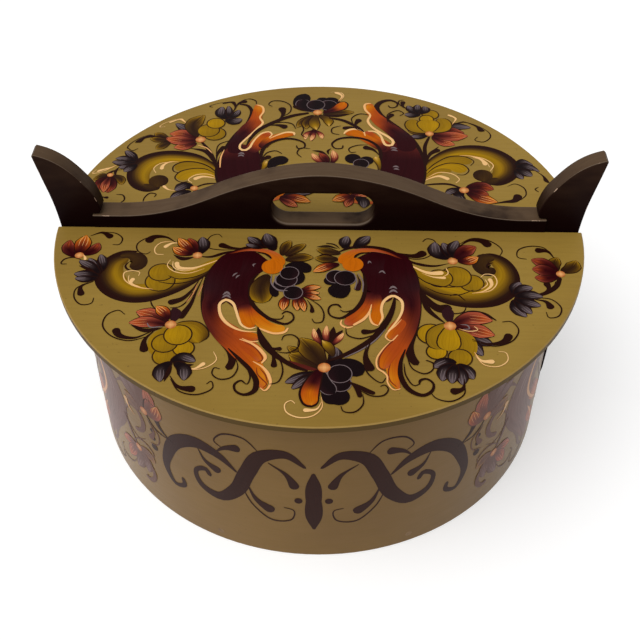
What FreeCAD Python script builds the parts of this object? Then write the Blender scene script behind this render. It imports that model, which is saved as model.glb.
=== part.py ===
import FreeCAD, Part
import math
import os

from FreeCAD import Vector

# Round bentwood tine box: a thin bent band round a pegged bottom board, a flat
# lid with an arched handle bar, and two upright posts whose noses snap over
# the ends of the bar. Millimetres. The origin is the centre of the underside,
# +Z is up, +X runs along the bar to the right-hand post, and the front is -Y.

os.makedirs("parts", exist_ok=True)

UP = Vector(0, 0, 1)
ALONG_X = Vector(1, 0, 0)
ALONG_Y = Vector(0, 1, 0)

# band
BAND_RADIUS = 138.5
BAND_WALL = 4.0
BAND_HEIGHT = 121.1
BAND_ARRIS = 0.5
LAP_START_DEG = 78.0
LAP_END_DEG = 104.0
LAP_STEP = 1.2

# root lacing that sews the lap shut, two rows of running stitches
LACE_ROWS_DEG = (82.0, 97.0)
LACE_WIDTH = 4.0
LACE_PROUD = 1.1
LACE_STITCH = 11.0
LACE_MARGIN = 14.0
LACE_FIT = 0.1
LACE_BED = 0.3

# bottom board and the pegs through the band into its edge
BOTTOM_THICKNESS = 8.0
BOTTOM_RECESS = 3.0
BOTTOM_FIT = 0.1
BOTTOM_ARRIS = 0.8
BOTTOM_PEG_RADIUS = 1.9
BOTTOM_PEG_DEPTH = 14.0
BOTTOM_PEG_COUNT = 8
PEG_FIT = 0.05

# lid board
LID_OVERHANG = 11.5
LID_RIM_THICKNESS = 4.5
LID_ARRIS = 0.6
LID_STEP_THICKNESS = 5.0
LID_STEP_FIT = 1.0

# how far the posts and the bar stand behind the box's middle line
HANDLE_SET_BACK = 2.8

# posts
POST_THICKNESS = 10.6
POST_BODY_WIDTH = 19.5
POST_LEG_THICKNESS = 9.6
POST_NOSE_REACH = 5.2
POST_NOSE_CLEARANCE = 0.8
POST_NOSE_BLUNT = 1.6
POST_EAR_HEIGHT = 48.7
POST_EAR_LEAN = 7.9
POST_TIP_FACET = 1.2
POST_EAR_MID_HEIGHT = 27.6
POST_EAR_MID_SET = 0.5
POST_BACK_MID_HEIGHT = 23.0
POST_BACK_MID_SWELL = 2.9
POST_FOOT_THICKNESS = 6.0
POST_FOOT_HEIGHT = 3.0
POST_TOE_HEIGHT = 11.0
POST_TOE_THICKNESS = 3.6
POST_GAP = 0.35
POST_SLOT_SIDE = 1.0
POST_EDGE = 0.8
POST_PEG_RADIUS = 2.5
POST_PEG_PLAY = 0.3
POST_PEG_DEPTH = 12.0
POST_UPPER_PEG_HEIGHT = 38.0

# handle bar
BAR_THICKNESS = 13.0
BAR_END_HEIGHT = 8.5
BAR_CROWN_HEIGHT = 38.0
BAR_CROWN_X = 1.2
BAR_END_FLAT = 12.6
BAR_SLOPE_X = 58.0
BAR_SLOPE_HEIGHT = 23.6
BAR_SLOPE = 0.47
BAR_EDGE = 0.9
HOLE_CENTRE_X = 2.2
HOLE_LENGTH = 58.0
HOLE_HEIGHT = 20.4
HOLE_SILL = 4.2
HOLE_ROUND = 2.6

# dowels up through the lid board into the bar
DOWEL_RADIUS = 2.5
DOWEL_DEPTH = 7.5
DOWEL_FIT = 0.05
DOWEL_HOLE_MARGIN = 26.0
DOWEL_END_MARGIN = 30.6

# how far a cut runs past the surface that it opens
OVERRUN = 5.0

BAND_INSIDE = BAND_RADIUS - BAND_WALL
LID_RADIUS = BAND_RADIUS + LID_OVERHANG
BOTTOM_LOW = BOTTOM_RECESS
BOTTOM_MIDDLE = BOTTOM_RECESS + BOTTOM_THICKNESS / 2
LID_TOP = BAND_HEIGHT + LID_RIM_THICKNESS
LEG_INSIDE = BAND_RADIUS + POST_GAP
POST_OUTSIDE = LEG_INSIDE + POST_LEG_THICKNESS
POST_INSIDE = POST_OUTSIDE - POST_BODY_WIDTH
BAR_HALF_LENGTH = POST_INSIDE - POST_GAP
SLOT_HALF_WIDTH = POST_THICKNESS / 2 + POST_SLOT_SIDE


def save(shape, name):
    shape.exportStep("parts/" + name + ".step")


def polar(radius, degrees, height=0.0):
    angle = math.radians(degrees)
    return Vector(radius * math.cos(angle), radius * math.sin(angle), height)


def disc(radius, low, thickness):
    return Part.makeCylinder(radius, thickness, Vector(0, 0, low), UP)


def chamfer_rings(solid, size, heights):
    """Take the arris off the round edges that lie level at these heights."""
    rings = []
    for edge in solid.Edges:
        box = edge.BoundBox
        level = any(abs(box.ZMin - h) < 1e-6 and abs(box.ZMax - h) < 1e-6 for h in heights)
        if level and isinstance(edge.Curve, Part.Circle):
            rings.append(edge)
    return solid.makeChamfer(size, rings)


def spline(points, tangents):
    """A smooth edge through points in the XZ plane, with a tangent at each."""
    curve = Part.BSplineCurve()
    curve.interpolate(
        Points=[Vector(x, 0, z) for x, z in points],
        Tangents=[Vector(x, 0, z) for x, z in tangents],
        TangentFlags=[True] * len(points),
    )
    return curve.toShape()


def line(start, end):
    return Part.makeLine(Vector(start[0], 0, start[1]), Vector(end[0], 0, end[1]))


def slab(edges, thickness):
    """A board of this thickness, centred on the handle's plane, cut to an outline."""
    face = Part.Face(Part.Wire(Part.__sortEdges__(edges)))
    face.translate(Vector(0, HANDLE_SET_BACK - thickness / 2, 0))
    return face.extrude(Vector(0, thickness, 0))


def round_faces(solid, radius, thickness, keep):
    """Round the long edges of both flat faces where keep(x, z) is true."""
    chosen = []
    for edge in solid.Edges:
        box = edge.BoundBox
        aside = abs(box.YMin - HANDLE_SET_BACK)
        flat = box.YMax - box.YMin < 1e-6 and abs(aside - thickness / 2) < 1e-6
        middle = edge.valueAt((edge.FirstParameter + edge.LastParameter) / 2)
        if flat and keep(middle.x, middle.z):
            chosen.append(edge)
    return solid.makeFillet(radius, chosen)


def mirrored(shape):
    return shape.mirror(Vector(0, 0, 0), ALONG_X)


def radial_peg(radius, outer, inner, degrees, height):
    """A round peg that points at the box's axis."""
    start = polar(inner, degrees, height)
    return Part.makeCylinder(radius, outer - inner, start, polar(1, degrees))


def post_peg(radius, outer, inner, height):
    """A round peg through the right-hand post, square to it."""
    start = Vector(inner, HANDLE_SET_BACK, height)
    return Part.makeCylinder(radius, outer - inner, start, ALONG_X)


# side band: one thin board bent round, its outer end lapped over the inner one
band = disc(BAND_RADIUS, 0, BAND_HEIGHT).cut(disc(BAND_INSIDE, 0, BAND_HEIGHT))
band = chamfer_rings(band, BAND_ARRIS, (0.0, BAND_HEIGHT))

lap_middle = (LAP_START_DEG + LAP_END_DEG) / 2
lap_inner = BAND_RADIUS - BAND_WALL / 2
lap_outer = Part.Arc(
    polar(BAND_RADIUS + LAP_STEP, LAP_START_DEG),
    polar(BAND_RADIUS + LAP_STEP / 2, lap_middle),
    polar(BAND_RADIUS, LAP_END_DEG),
).toShape()
lap_root = Part.Arc(
    polar(lap_inner, LAP_START_DEG),
    polar(lap_inner, lap_middle),
    polar(lap_inner, LAP_END_DEG),
).toShape()
lap_ends = [
    Part.makeLine(polar(lap_inner, LAP_START_DEG), polar(BAND_RADIUS + LAP_STEP, LAP_START_DEG)),
    Part.makeLine(polar(lap_inner, LAP_END_DEG), polar(BAND_RADIUS, LAP_END_DEG)),
]
lap_face = Part.Face(Part.Wire(Part.__sortEdges__([lap_outer, lap_root] + lap_ends)))
lap_face.translate(Vector(0, 0, BAND_ARRIS))
lap = lap_face.extrude(Vector(0, 0, BAND_HEIGHT - 2 * BAND_ARRIS))
band = band.fuse(lap).removeSplitter()

# lacing: each row runs up the lap, one stitch outside and the next one inside
lace_steps = int((BAND_HEIGHT - 2 * LACE_MARGIN) / LACE_STITCH)
lace_low = (BAND_HEIGHT - lace_steps * LACE_STITCH) / 2
lacing = []
slots = []
for row in LACE_ROWS_DEG:
    share = (LAP_END_DEG - row) / (LAP_END_DEG - LAP_START_DEG)
    skin = BAND_RADIUS + LAP_STEP * share
    turn = FreeCAD.Placement(Vector(0, 0, 0), FreeCAD.Rotation(UP, row))
    pieces = []
    for step in range(lace_steps):
        outside = step % 2 == 0
        low = lace_low + step * LACE_STITCH - LACE_PROUD / 2
        deep = skin - LACE_BED if outside else BAND_INSIDE - LACE_PROUD
        corner = Vector(deep, -LACE_WIDTH / 2, low)
        pieces.append(Part.makeBox(LACE_PROUD + LACE_BED, LACE_WIDTH, LACE_STITCH + LACE_PROUD, corner))
        # a flat lies under each stitch, so that the root beds on the curved band
        deep = skin - LACE_BED if outside else BAND_INSIDE + LACE_BED - OVERRUN
        corner = Vector(deep, -LACE_WIDTH / 2 - LACE_FIT, low - LACE_FIT)
        tall = LACE_STITCH + LACE_PROUD + 2 * LACE_FIT
        bed = Part.makeBox(OVERRUN, LACE_WIDTH + 2 * LACE_FIT, tall, corner)
        bed.Placement = turn
        slots.append(bed)
    for step in range(lace_steps + 1):
        low = lace_low + step * LACE_STITCH - LACE_PROUD / 2
        corner = Vector(BAND_INSIDE - LACE_PROUD, -LACE_WIDTH / 2, low)
        reach = skin - BAND_INSIDE + 2 * LACE_PROUD
        pieces.append(Part.makeBox(reach, LACE_WIDTH, LACE_PROUD, corner))
        corner = Vector(BAND_INSIDE - OVERRUN, -LACE_WIDTH / 2 - LACE_FIT, low - LACE_FIT)
        reach = skin - BAND_INSIDE + 2 * OVERRUN
        slot = Part.makeBox(reach, LACE_WIDTH + 2 * LACE_FIT, LACE_PROUD + 2 * LACE_FIT, corner)
        slot.Placement = turn
        slots.append(slot)
    lace = pieces[0].multiFuse(pieces[1:]).removeSplitter()
    lace.Placement = turn
    lacing.append(lace)

# bottom board, let into the band and held by pegs driven in through the band
board_radius = BAND_INSIDE - BOTTOM_FIT
board = disc(board_radius, BOTTOM_LOW, BOTTOM_THICKNESS)
board = chamfer_rings(board, BOTTOM_ARRIS, (BOTTOM_LOW, BOTTOM_LOW + BOTTOM_THICKNESS))

bottom_pegs = []
for index in range(BOTTOM_PEG_COUNT):
    turn = (index + 0.5) * 360.0 / BOTTOM_PEG_COUNT
    tip = BAND_INSIDE - BOTTOM_PEG_DEPTH
    bottom_pegs.append(radial_peg(BOTTOM_PEG_RADIUS, BAND_RADIUS, tip, turn, BOTTOM_MIDDLE))
    outer = BAND_RADIUS + OVERRUN
    bore = radial_peg(BOTTOM_PEG_RADIUS + PEG_FIT, outer, tip - PEG_FIT, turn, BOTTOM_MIDDLE)
    slots.append(bore)
    board = board.cut(bore)

# posts: a leg down the outside of the band, a shoulder over the band's top
# edge, and an ear that leans out at its tip and hooks over the bar's end
foot_low = POST_FOOT_HEIGHT
toe_top = POST_FOOT_HEIGHT + POST_TOE_HEIGHT
shoulder = BAND_HEIGHT + POST_GAP
nose_under = LID_TOP + BAR_END_HEIGHT + POST_NOSE_CLEARANCE
nose_tip = POST_INSIDE - POST_NOSE_REACH
ear_top = LID_TOP + POST_EAR_HEIGHT
ear_out = POST_OUTSIDE + POST_EAR_LEAN
back_mid = (POST_OUTSIDE + POST_BACK_MID_SWELL, LID_TOP + POST_BACK_MID_HEIGHT)
front_mid = (POST_INSIDE + POST_EAR_MID_SET, LID_TOP + POST_EAR_MID_HEIGHT)

post_outline = [
    line((LEG_INSIDE, foot_low), (LEG_INSIDE + POST_TOE_THICKNESS, foot_low)),
    spline(
        [(LEG_INSIDE + POST_TOE_THICKNESS, foot_low), (LEG_INSIDE + POST_FOOT_THICKNESS, toe_top)],
        [(2.0, 4.0), (0.4, 9.0)],
    ),
    line((LEG_INSIDE + POST_FOOT_THICKNESS, toe_top), (POST_OUTSIDE, LID_TOP)),
    spline(
        [(POST_OUTSIDE, LID_TOP), back_mid, (ear_out, ear_top - POST_TIP_FACET)],
        [(1.6, 24.0), (4.6, 22.0), (3.0, 16.0)],
    ),
    line((ear_out, ear_top - POST_TIP_FACET), (ear_out - POST_TIP_FACET, ear_top)),
    spline(
        [(ear_out - POST_TIP_FACET, ear_top), front_mid, (nose_tip, nose_under + POST_NOSE_BLUNT)],
        [(-26.0, -6.5), (-12.5, -18.0), (-2.0, -17.0)],
    ),
    line((nose_tip, nose_under + POST_NOSE_BLUNT), (nose_tip + 0.5 * POST_NOSE_BLUNT, nose_under)),
    line((nose_tip + 0.5 * POST_NOSE_BLUNT, nose_under), (POST_INSIDE, nose_under)),
    line((POST_INSIDE, nose_under), (POST_INSIDE, shoulder)),
    line((POST_INSIDE, shoulder), (LEG_INSIDE, shoulder)),
    line((LEG_INSIDE, shoulder), (LEG_INSIDE, foot_low)),
]
post = slab(post_outline, POST_THICKNESS)
post = round_faces(post, POST_EDGE, POST_THICKNESS, lambda x, z: x > LEG_INSIDE or z > nose_under)

post_pegs = []
for height, depth in ((BOTTOM_MIDDLE, POST_PEG_DEPTH), (POST_UPPER_PEG_HEIGHT, 0.0)):
    rise = (height - toe_top) / (LID_TOP - toe_top)
    skin = LEG_INSIDE + POST_FOOT_THICKNESS + rise * (POST_OUTSIDE - LEG_INSIDE - POST_FOOT_THICKNESS)
    if height < toe_top:
        fall = (toe_top - height) / POST_TOE_HEIGHT
        skin = LEG_INSIDE + POST_FOOT_THICKNESS - fall * (POST_FOOT_THICKNESS - POST_TOE_THICKNESS)
    tip = BAND_INSIDE - depth
    post_pegs.append(post_peg(POST_PEG_RADIUS, skin, tip, height))
    near = LEG_INSIDE - OVERRUN
    post = post.cut(post_peg(POST_PEG_RADIUS + POST_PEG_PLAY, skin + 2 * OVERRUN, near, height))
    bore = post_peg(POST_PEG_RADIUS + PEG_FIT, skin, tip - PEG_FIT, height)
    slots += [bore, mirrored(bore)]
    if height == BOTTOM_MIDDLE:
        board = board.cut(bore).cut(mirrored(bore))

for slot in slots:
    band = band.cut(slot)

# lid board: a thin overhanging rim, and a step below it that drops inside the
# band; a slot at each end lets the posts through
step_radius = BAND_INSIDE - LID_STEP_FIT
step_low = BAND_HEIGHT - LID_STEP_THICKNESS
rim = chamfer_rings(disc(LID_RADIUS, BAND_HEIGHT, LID_RIM_THICKNESS), LID_ARRIS, (BAND_HEIGHT, LID_TOP))
step = chamfer_rings(disc(step_radius, step_low, LID_STEP_THICKNESS), LID_ARRIS, (step_low,))
lid = rim.fuse(step)
slot_length = LID_RADIUS - BAR_HALF_LENGTH + OVERRUN
slot_corner = Vector(BAR_HALF_LENGTH, HANDLE_SET_BACK - SLOT_HALF_WIDTH, step_low - OVERRUN)
slot_height = LID_STEP_THICKNESS + LID_RIM_THICKNESS + 2 * OVERRUN
post_slot = Part.makeBox(slot_length, 2 * SLOT_HALF_WIDTH, slot_height, slot_corner)
lid = lid.cut(post_slot).cut(mirrored(post_slot))

# handle bar: low flat ends under the noses, an ogee up to a round crown, and a
# hand hole with soft rounded edges
crown = LID_TOP + BAR_CROWN_HEIGHT
bar_end_top = LID_TOP + BAR_END_HEIGHT
slope_top = LID_TOP + BAR_SLOPE_HEIGHT
rise_left = BAR_CROWN_X - BAR_HALF_LENGTH + BAR_END_FLAT
rise_right = BAR_CROWN_X + BAR_HALF_LENGTH - BAR_END_FLAT
climb = (1.0, BAR_SLOPE)
fall_away = (1.0, -BAR_SLOPE)
bar_curve = spline(
    [
        (rise_left, bar_end_top),
        (BAR_CROWN_X - BAR_SLOPE_X, slope_top),
        (BAR_CROWN_X, crown),
        (BAR_CROWN_X + BAR_SLOPE_X, slope_top),
        (rise_right, bar_end_top),
    ],
    [(1.0, 0.0), climb, (1.0, 0.0), fall_away, (1.0, 0.0)],
)
bar_outline = [
    line((-BAR_HALF_LENGTH, LID_TOP), (-BAR_HALF_LENGTH, bar_end_top)),
    line((-BAR_HALF_LENGTH, bar_end_top), (rise_left, bar_end_top)),
    bar_curve,
    line((rise_right, bar_end_top), (BAR_HALF_LENGTH, bar_end_top)),
    line((BAR_HALF_LENGTH, bar_end_top), (BAR_HALF_LENGTH, LID_TOP)),
    line((BAR_HALF_LENGTH, LID_TOP), (-BAR_HALF_LENGTH, LID_TOP)),
]
bar = slab(bar_outline, BAR_THICKNESS)
bar = round_faces(bar, BAR_EDGE, BAR_THICKNESS, lambda x, z: z > bar_end_top - 1e-6)

hole_low = LID_TOP + HOLE_SILL
hole_radius = HOLE_HEIGHT / 2
hole_middle = hole_low + hole_radius
hole_reach = HOLE_LENGTH / 2 - hole_radius
hole_depth = BAR_THICKNESS + 2 * OVERRUN
hole_front = HANDLE_SET_BACK - hole_depth / 2
hole_corner = Vector(HOLE_CENTRE_X - hole_reach, hole_front, hole_low)
hole_box = Part.makeBox(2 * hole_reach, hole_depth, HOLE_HEIGHT, hole_corner)
hole_ends = []
for side in (-1, 1):
    centre = Vector(HOLE_CENTRE_X + side * hole_reach, hole_front, hole_middle)
    hole_ends.append(Part.makeCylinder(hole_radius, hole_depth, centre, ALONG_Y))
bar = bar.cut(hole_box.multiFuse(hole_ends).removeSplitter())


def on_hole_edge(x, z):
    return abs(x - HOLE_CENTRE_X) < HOLE_LENGTH / 2 + 1 and hole_low - 1 < z < hole_low + HOLE_HEIGHT + 1


bar = round_faces(bar, HOLE_ROUND, BAR_THICKNESS, on_hole_edge)

# dowels, from the underside of the lid's step up into the solid parts of the bar
dowels = []
for place in (HOLE_LENGTH / 2 + DOWEL_HOLE_MARGIN, BAR_HALF_LENGTH - DOWEL_END_MARGIN):
    for side in (-1, 1):
        at = Vector(side * place, HANDLE_SET_BACK, step_low)
        reach = LID_TOP + DOWEL_DEPTH - step_low
        dowels.append(Part.makeCylinder(DOWEL_RADIUS, reach, at, UP))
        bore = Part.makeCylinder(DOWEL_RADIUS + DOWEL_FIT, reach + DOWEL_FIT, at, UP)
        lid = lid.cut(bore)
        bar = bar.cut(bore)

save(band, "side_band")
save(Part.makeCompound(lacing), "lap_lacing")
save(board, "bottom_board")
save(Part.makeCompound(bottom_pegs), "bottom_pegs")
save(post, "right_post")
save(mirrored(post), "left_post")
save(Part.makeCompound(post_pegs), "right_post_pegs")
save(mirrored(Part.makeCompound(post_pegs)), "left_post_pegs")
save(lid, "lid_board")
save(bar, "handle_bar")
save(Part.makeCompound(dowels), "handle_dowels")
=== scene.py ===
import math

import bmesh
import bpy
import numpy
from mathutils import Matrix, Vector


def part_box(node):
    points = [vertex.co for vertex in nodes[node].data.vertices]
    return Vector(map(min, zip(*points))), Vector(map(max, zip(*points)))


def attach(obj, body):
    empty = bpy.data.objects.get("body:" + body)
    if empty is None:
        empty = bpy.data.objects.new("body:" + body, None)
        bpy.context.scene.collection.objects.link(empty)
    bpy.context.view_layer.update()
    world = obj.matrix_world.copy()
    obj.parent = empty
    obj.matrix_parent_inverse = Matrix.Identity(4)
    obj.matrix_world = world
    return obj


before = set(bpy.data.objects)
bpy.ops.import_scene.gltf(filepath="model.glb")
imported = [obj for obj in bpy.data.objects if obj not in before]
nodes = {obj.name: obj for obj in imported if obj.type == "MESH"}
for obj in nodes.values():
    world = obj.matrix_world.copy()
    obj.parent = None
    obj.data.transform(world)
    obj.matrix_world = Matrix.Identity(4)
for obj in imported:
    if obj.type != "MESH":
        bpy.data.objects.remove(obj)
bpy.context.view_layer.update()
scene = bpy.context.scene


# Side band: a thin board bent round, painted olive brown outside and left as
# bare wood inside. The paint was brushed round it, then varnished to a satin.
def put(tree, kind, feeds=None, **settings):
    """Add a shader node; feeds gives its sockets a value or another node's output."""
    made = tree.nodes.new("ShaderNode" + kind)
    for name, value in settings.items():
        setattr(made, name, value)
    for socket, value in (feeds or {}).items():
        if isinstance(value, bpy.types.NodeSocket):
            tree.links.new(value, made.inputs[socket])
        else:
            made.inputs[socket].default_value = value
    return made


def sum_of(tree, kind, *terms):
    """What one maths node makes of the terms."""
    made = put(tree, "Math", dict(enumerate(terms)), operation=kind)
    return made.outputs[0]


def blend_colours(tree, share, first, second, mode="MIX"):
    """The first colour where share is 0, and the second where it is 1."""
    made = put(tree, "Mix", {0: share, 6: first, 7: second}, data_type="RGBA", blend_type=mode)
    return made.outputs[2]


def stretched_noise(tree, coordinates, stretch, scale, detail=4.0):
    """Cloudy noise, finest along the axis with the largest stretch."""
    pulled = put(tree, "Mapping", {"Vector": coordinates, "Scale": stretch})
    noise = put(tree, "TexNoise", {"Vector": pulled.outputs[0], "Scale": scale, "Detail": detail})
    return noise.outputs[0]


def step_between(tree, value, low, high):
    """0 below low, 1 above high and a soft climb between."""
    feeds = {0: value, 1: low, 2: high}
    return put(tree, "MapRange", feeds, interpolation_type="SMOOTHSTEP").outputs[0]


def tone(red, green, blue):
    """A colour named by its 0 to 255 screen values, as the light value a shader takes."""
    shares = [value / 255 for value in (red, green, blue)]
    light = [s / 12.92 if s <= 0.04045 else ((s + 0.055) / 1.055) ** 2.4 for s in shares]
    return (*light, 1.0)


def new_finish(name, coat):
    """A plain material with that much varnish."""
    finish = bpy.data.materials.new(name)
    finish.use_nodes = True
    tree = finish.node_tree
    skin = tree.nodes["Principled BSDF"]
    skin.inputs["Coat Weight"].default_value = coat
    skin.inputs["Coat Roughness"].default_value = 0.3
    skin.inputs["Coat IOR"].default_value = 1.2
    return finish, tree, skin


def dress(node, finish):
    """Give a CAD node its one finish."""
    slots = nodes[node].data.materials
    slots.clear()
    slots.append(finish)


def roughen(tree, skin, height, depth):
    """Fine relief from the height pattern; depth is in metres."""
    bump = put(tree, "Bump", {"Height": height, "Distance": depth, "Strength": 1.0})
    tree.links.new(bump.outputs[0], skin.inputs["Normal"])


def wood_colour(tree, where, grain, light, dark):
    """Planed wood: long grain bands, with fine dark pores along them."""
    bands = stretched_noise(tree, where, grain, 38.0, 3.0)
    fine_grain = [2.2 * part for part in grain]
    pores = stretched_noise(tree, where, fine_grain, 210.0, 2.0)
    plain = blend_colours(tree, step_between(tree, bands, 0.35, 0.68), light, dark)
    pore_share = sum_of(tree, "MULTIPLY", step_between(tree, pores, 0.62, 0.78), 0.35)
    return blend_colours(tree, pore_share, plain, tone(70, 48, 28))


def painted_ground(name, varnish, brushing, warm, cool, bare, wood_grain, rim=None):
    """Brushed olive paint; where bare is 1 the wood shows instead. Given a rim colour, the rim's side takes
    it, and its arris is lighter, a painted highlight.
    """
    finish, tree, skin = new_finish(name, varnish)
    where = put(tree, "TexCoord").outputs["Object"]
    clouds = stretched_noise(tree, where, (1, 1, 1), 11.0, 5.0)
    streaks = stretched_noise(tree, where, brushing, 46.0, 5.0)
    specks = stretched_noise(tree, where, (1, 1, 1), 520.0, 2.0)
    paint = blend_colours(tree, step_between(tree, clouds, 0.34, 0.68), warm, cool)
    streak_share = sum_of(tree, "MULTIPLY", step_between(tree, streaks, 0.35, 0.75), 0.16)
    paint = blend_colours(tree, streak_share, paint, tone(112, 88, 38))
    speck_share = sum_of(tree, "MULTIPLY", step_between(tree, specks, 0.7, 0.76), 0.35)
    paint = blend_colours(tree, speck_share, paint, tone(84, 62, 28))
    if rim:
        turned = put(tree, "SeparateXYZ", {0: put(tree, "NewGeometry").outputs["Normal"]})
        level = sum_of(tree, "ABSOLUTE", turned.outputs[2])
        # painted highlight: the arris between the top and the rim's side is lighter; the side itself takes
        # the rim colour
        edge = blend_colours(tree, step_between(tree, level, 0.1, 0.5), rim, tone(158, 128, 70))
        paint = blend_colours(tree, step_between(tree, level, 0.85, 0.95), edge, paint)
    wood = wood_colour(tree, where, wood_grain, tone(186, 150, 104), tone(150, 112, 70))
    share = bare(tree, where)
    tree.links.new(blend_colours(tree, share, paint, wood), skin.inputs["Base Color"])
    gloss = sum_of(tree, "MULTIPLY_ADD", streaks, 0.22, 0.34)
    dull = sum_of(tree, "MULTIPLY_ADD", share, 0.2, gloss)
    tree.links.new(dull, skin.inputs["Roughness"])
    skin.inputs["Specular IOR Level"].default_value = 0.08
    height = sum_of(tree, "ADD", streaks, sum_of(tree, "MULTIPLY", specks, 0.3))
    roughen(tree, skin, height, depth=0.00006)
    return finish


# metres from the box's axis to a line within the band's 4 mm wall
WALL_REACH = round(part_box("side_band")[1][0] - 0.0025, 4)


def inside_band(tree, where):
    """1 on the band's inner face, by the distance from the box's axis."""
    flat = put(tree, "VectorMath", {0: where, 1: (1, 1, 0)}, operation="MULTIPLY")
    reach = put(tree, "VectorMath", {0: flat.outputs[0]}, operation="LENGTH")
    return sum_of(tree, "LESS_THAN", reach.outputs["Value"], WALL_REACH)


band_paint = painted_ground(
    "band_paint",
    varnish=0.6,
    brushing=(1, 1, 14),
    warm=tone(130, 98, 48),
    cool=tone(119, 88, 43),
    bare=inside_band,
    wood_grain=(1, 1, 16),
)
dress("side_band", band_paint)


# Root lacing: split spruce root that sews the band's lap shut at the back. It
# is brown and smooth, with fine fibres along each stitch.
root, tree, skin = new_finish("split_root", coat=0.1)
where = put(tree, "TexCoord").outputs["Object"]
fibres = stretched_noise(tree, where, (14, 14, 1), 60.0)
colour = blend_colours(tree, fibres, tone(120, 84, 48), tone(74, 48, 28))
tree.links.new(colour, skin.inputs["Base Color"])
skin.inputs["Roughness"].default_value = 0.55
roughen(tree, skin, fibres, depth=0.0002)
dress("lap_lacing", root)


# Bottom board: one planed pine disc let into the band, bare, with its grain
# along the bar. Eight turned pegs through the band hold its edge.
pine, tree, skin = new_finish("bottom_pine", coat=0.0)
where = put(tree, "TexCoord").outputs["Object"]
colour = wood_colour(tree, where, (1, 12, 4), tone(190, 152, 102), tone(148, 108, 66))
tree.links.new(colour, skin.inputs["Base Color"])
skin.inputs["Roughness"].default_value = 0.62
roughen(tree, skin, stretched_noise(tree, where, (1, 14, 4), 90.0), depth=0.00025)
dress("bottom_board", pine)

peg_wood, tree, skin = new_finish("peg_wood", coat=0.05)
where = put(tree, "TexCoord").outputs["Object"]
rings = stretched_noise(tree, where, (1, 1, 1), 420.0, 3.0)
colour = blend_colours(tree, rings, tone(150, 118, 74), tone(96, 68, 40))
tree.links.new(colour, skin.inputs["Base Color"])
skin.inputs["Roughness"].default_value = 0.6
roughen(tree, skin, rings, depth=0.0001)
for node in ("bottom_pegs", "left_post_pegs", "right_post_pegs", "handle_dowels"):
    dress(node, peg_wood)


# Posts: sawn boards up the outside of the band, painted nearly black. Their upward faces are browned, partly
# by dust and partly by a painted sheen, and handling has chipped the paint off their corners.
dark_paint, tree, skin = new_finish("dark_paint", coat=0.0)
where = put(tree, "TexCoord").outputs["Object"]
turned = put(tree, "NewGeometry").outputs["Normal"]
facing = put(tree, "SeparateXYZ", {0: turned})
upward = step_between(tree, facing.outputs[2], 0.1, 1.0)
streaks = stretched_noise(tree, where, (1, 9, 3), 60.0, 5.0)
smears = stretched_noise(tree, where, (1, 1, 1), 34.0, 4.0)
place = put(tree, "SeparateXYZ", {0: where})
dark = blend_colours(tree, streaks, tone(22, 5, 6), tone(10, 1, 2))
# painted sheen: the dark paint turns lighter brown towards the tops of the posts and bar
high = sum_of(tree, "MULTIPLY", step_between(tree, place.outputs[2], 0.13, 0.172), streaks)
dark = blend_colours(tree, high, dark, tone(64, 44, 32))
# dust and painted sheen: upward faces turn brown in cloudy patches
dust_and_sheen_brown = blend_colours(tree, streaks, tone(94, 75, 56), tone(76, 58, 43))
dust_and_sheen_share = sum_of(tree, "MULTIPLY", upward, step_between(tree, smears, 0.2, 0.5))
paint = blend_colours(tree, dust_and_sheen_share, dark, dust_and_sheen_brown)
# a corner is where a face turns from the board's side to its edge
across = sum_of(tree, "MULTIPLY", facing.outputs[1], facing.outputs[1])
arris = sum_of(tree, "MULTIPLY", across, sum_of(tree, "SUBTRACT", 1.0, across))
chips = stretched_noise(tree, where, (1, 1, 1), 190.0, 5.0)
# most wear is where the noses bear on the bar's ends, and on the posts' outer faces,
# each from the first place to the second along the bar, in metres
BAR_END_STARTS = (0.11, 0.122)
BAR_END_STOPS = (0.131, 0.135)
OUTER_FACE_STARTS = (0.145, 0.153)
reach = sum_of(tree, "ABSOLUTE", place.outputs[0])
from_bar = step_between(tree, reach, *BAR_END_STARTS)
past_bar = step_between(tree, reach, *BAR_END_STOPS)
bar_end = sum_of(tree, "SUBTRACT", from_bar, past_bar)
rubbed = sum_of(tree, "MAXIMUM", bar_end, step_between(tree, reach, *OUTER_FACE_STARTS))
worn = sum_of(tree, "MULTIPLY_ADD", chips, 0.9, sum_of(tree, "MULTIPLY", rubbed, 0.11))
worn = sum_of(tree, "MULTIPLY_ADD", arris, 0.85, worn)
bare = step_between(tree, worn, 0.83, 0.86)
# painted highlight: a thin light line along the arrises of upward faces
topmost = step_between(tree, facing.outputs[2], 0.3, 0.6)
painted_edge_highlight = sum_of(tree, "MULTIPLY", step_between(tree, arris, 0.17, 0.25), topmost)
painted_edge_highlight = sum_of(tree, "MULTIPLY", painted_edge_highlight, 0.55)
paint = blend_colours(tree, painted_edge_highlight, paint, tone(128, 112, 96))
paint = blend_colours(tree, bare, paint, tone(196, 166, 142))
tree.links.new(paint, skin.inputs["Base Color"])
tree.links.new(sum_of(tree, "MULTIPLY_ADD", streaks, 0.25, 0.3), skin.inputs["Roughness"])
skin.inputs["Specular IOR Level"].default_value = 0.03
roughen(tree, skin, sum_of(tree, "SUBTRACT", streaks, bare), depth=0.00012)
for node in ("left_post", "right_post"):
    dress(node, dark_paint)


# Lid board: one round board that overhangs the band, olive paint on top and
# round the rim. Below, where the rim rests on the band's top edge and a thicker
# step drops inside, the wood is bare.
BARE_UP_TO = round(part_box("side_band")[1][2] + 0.00005, 5)


def under_lid(tree, where):
    """1 up to just over the band's top edge, which is the lid's step and underside."""
    height = put(tree, "SeparateXYZ", {0: where})
    return sum_of(tree, "LESS_THAN", height.outputs[2], BARE_UP_TO)


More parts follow.
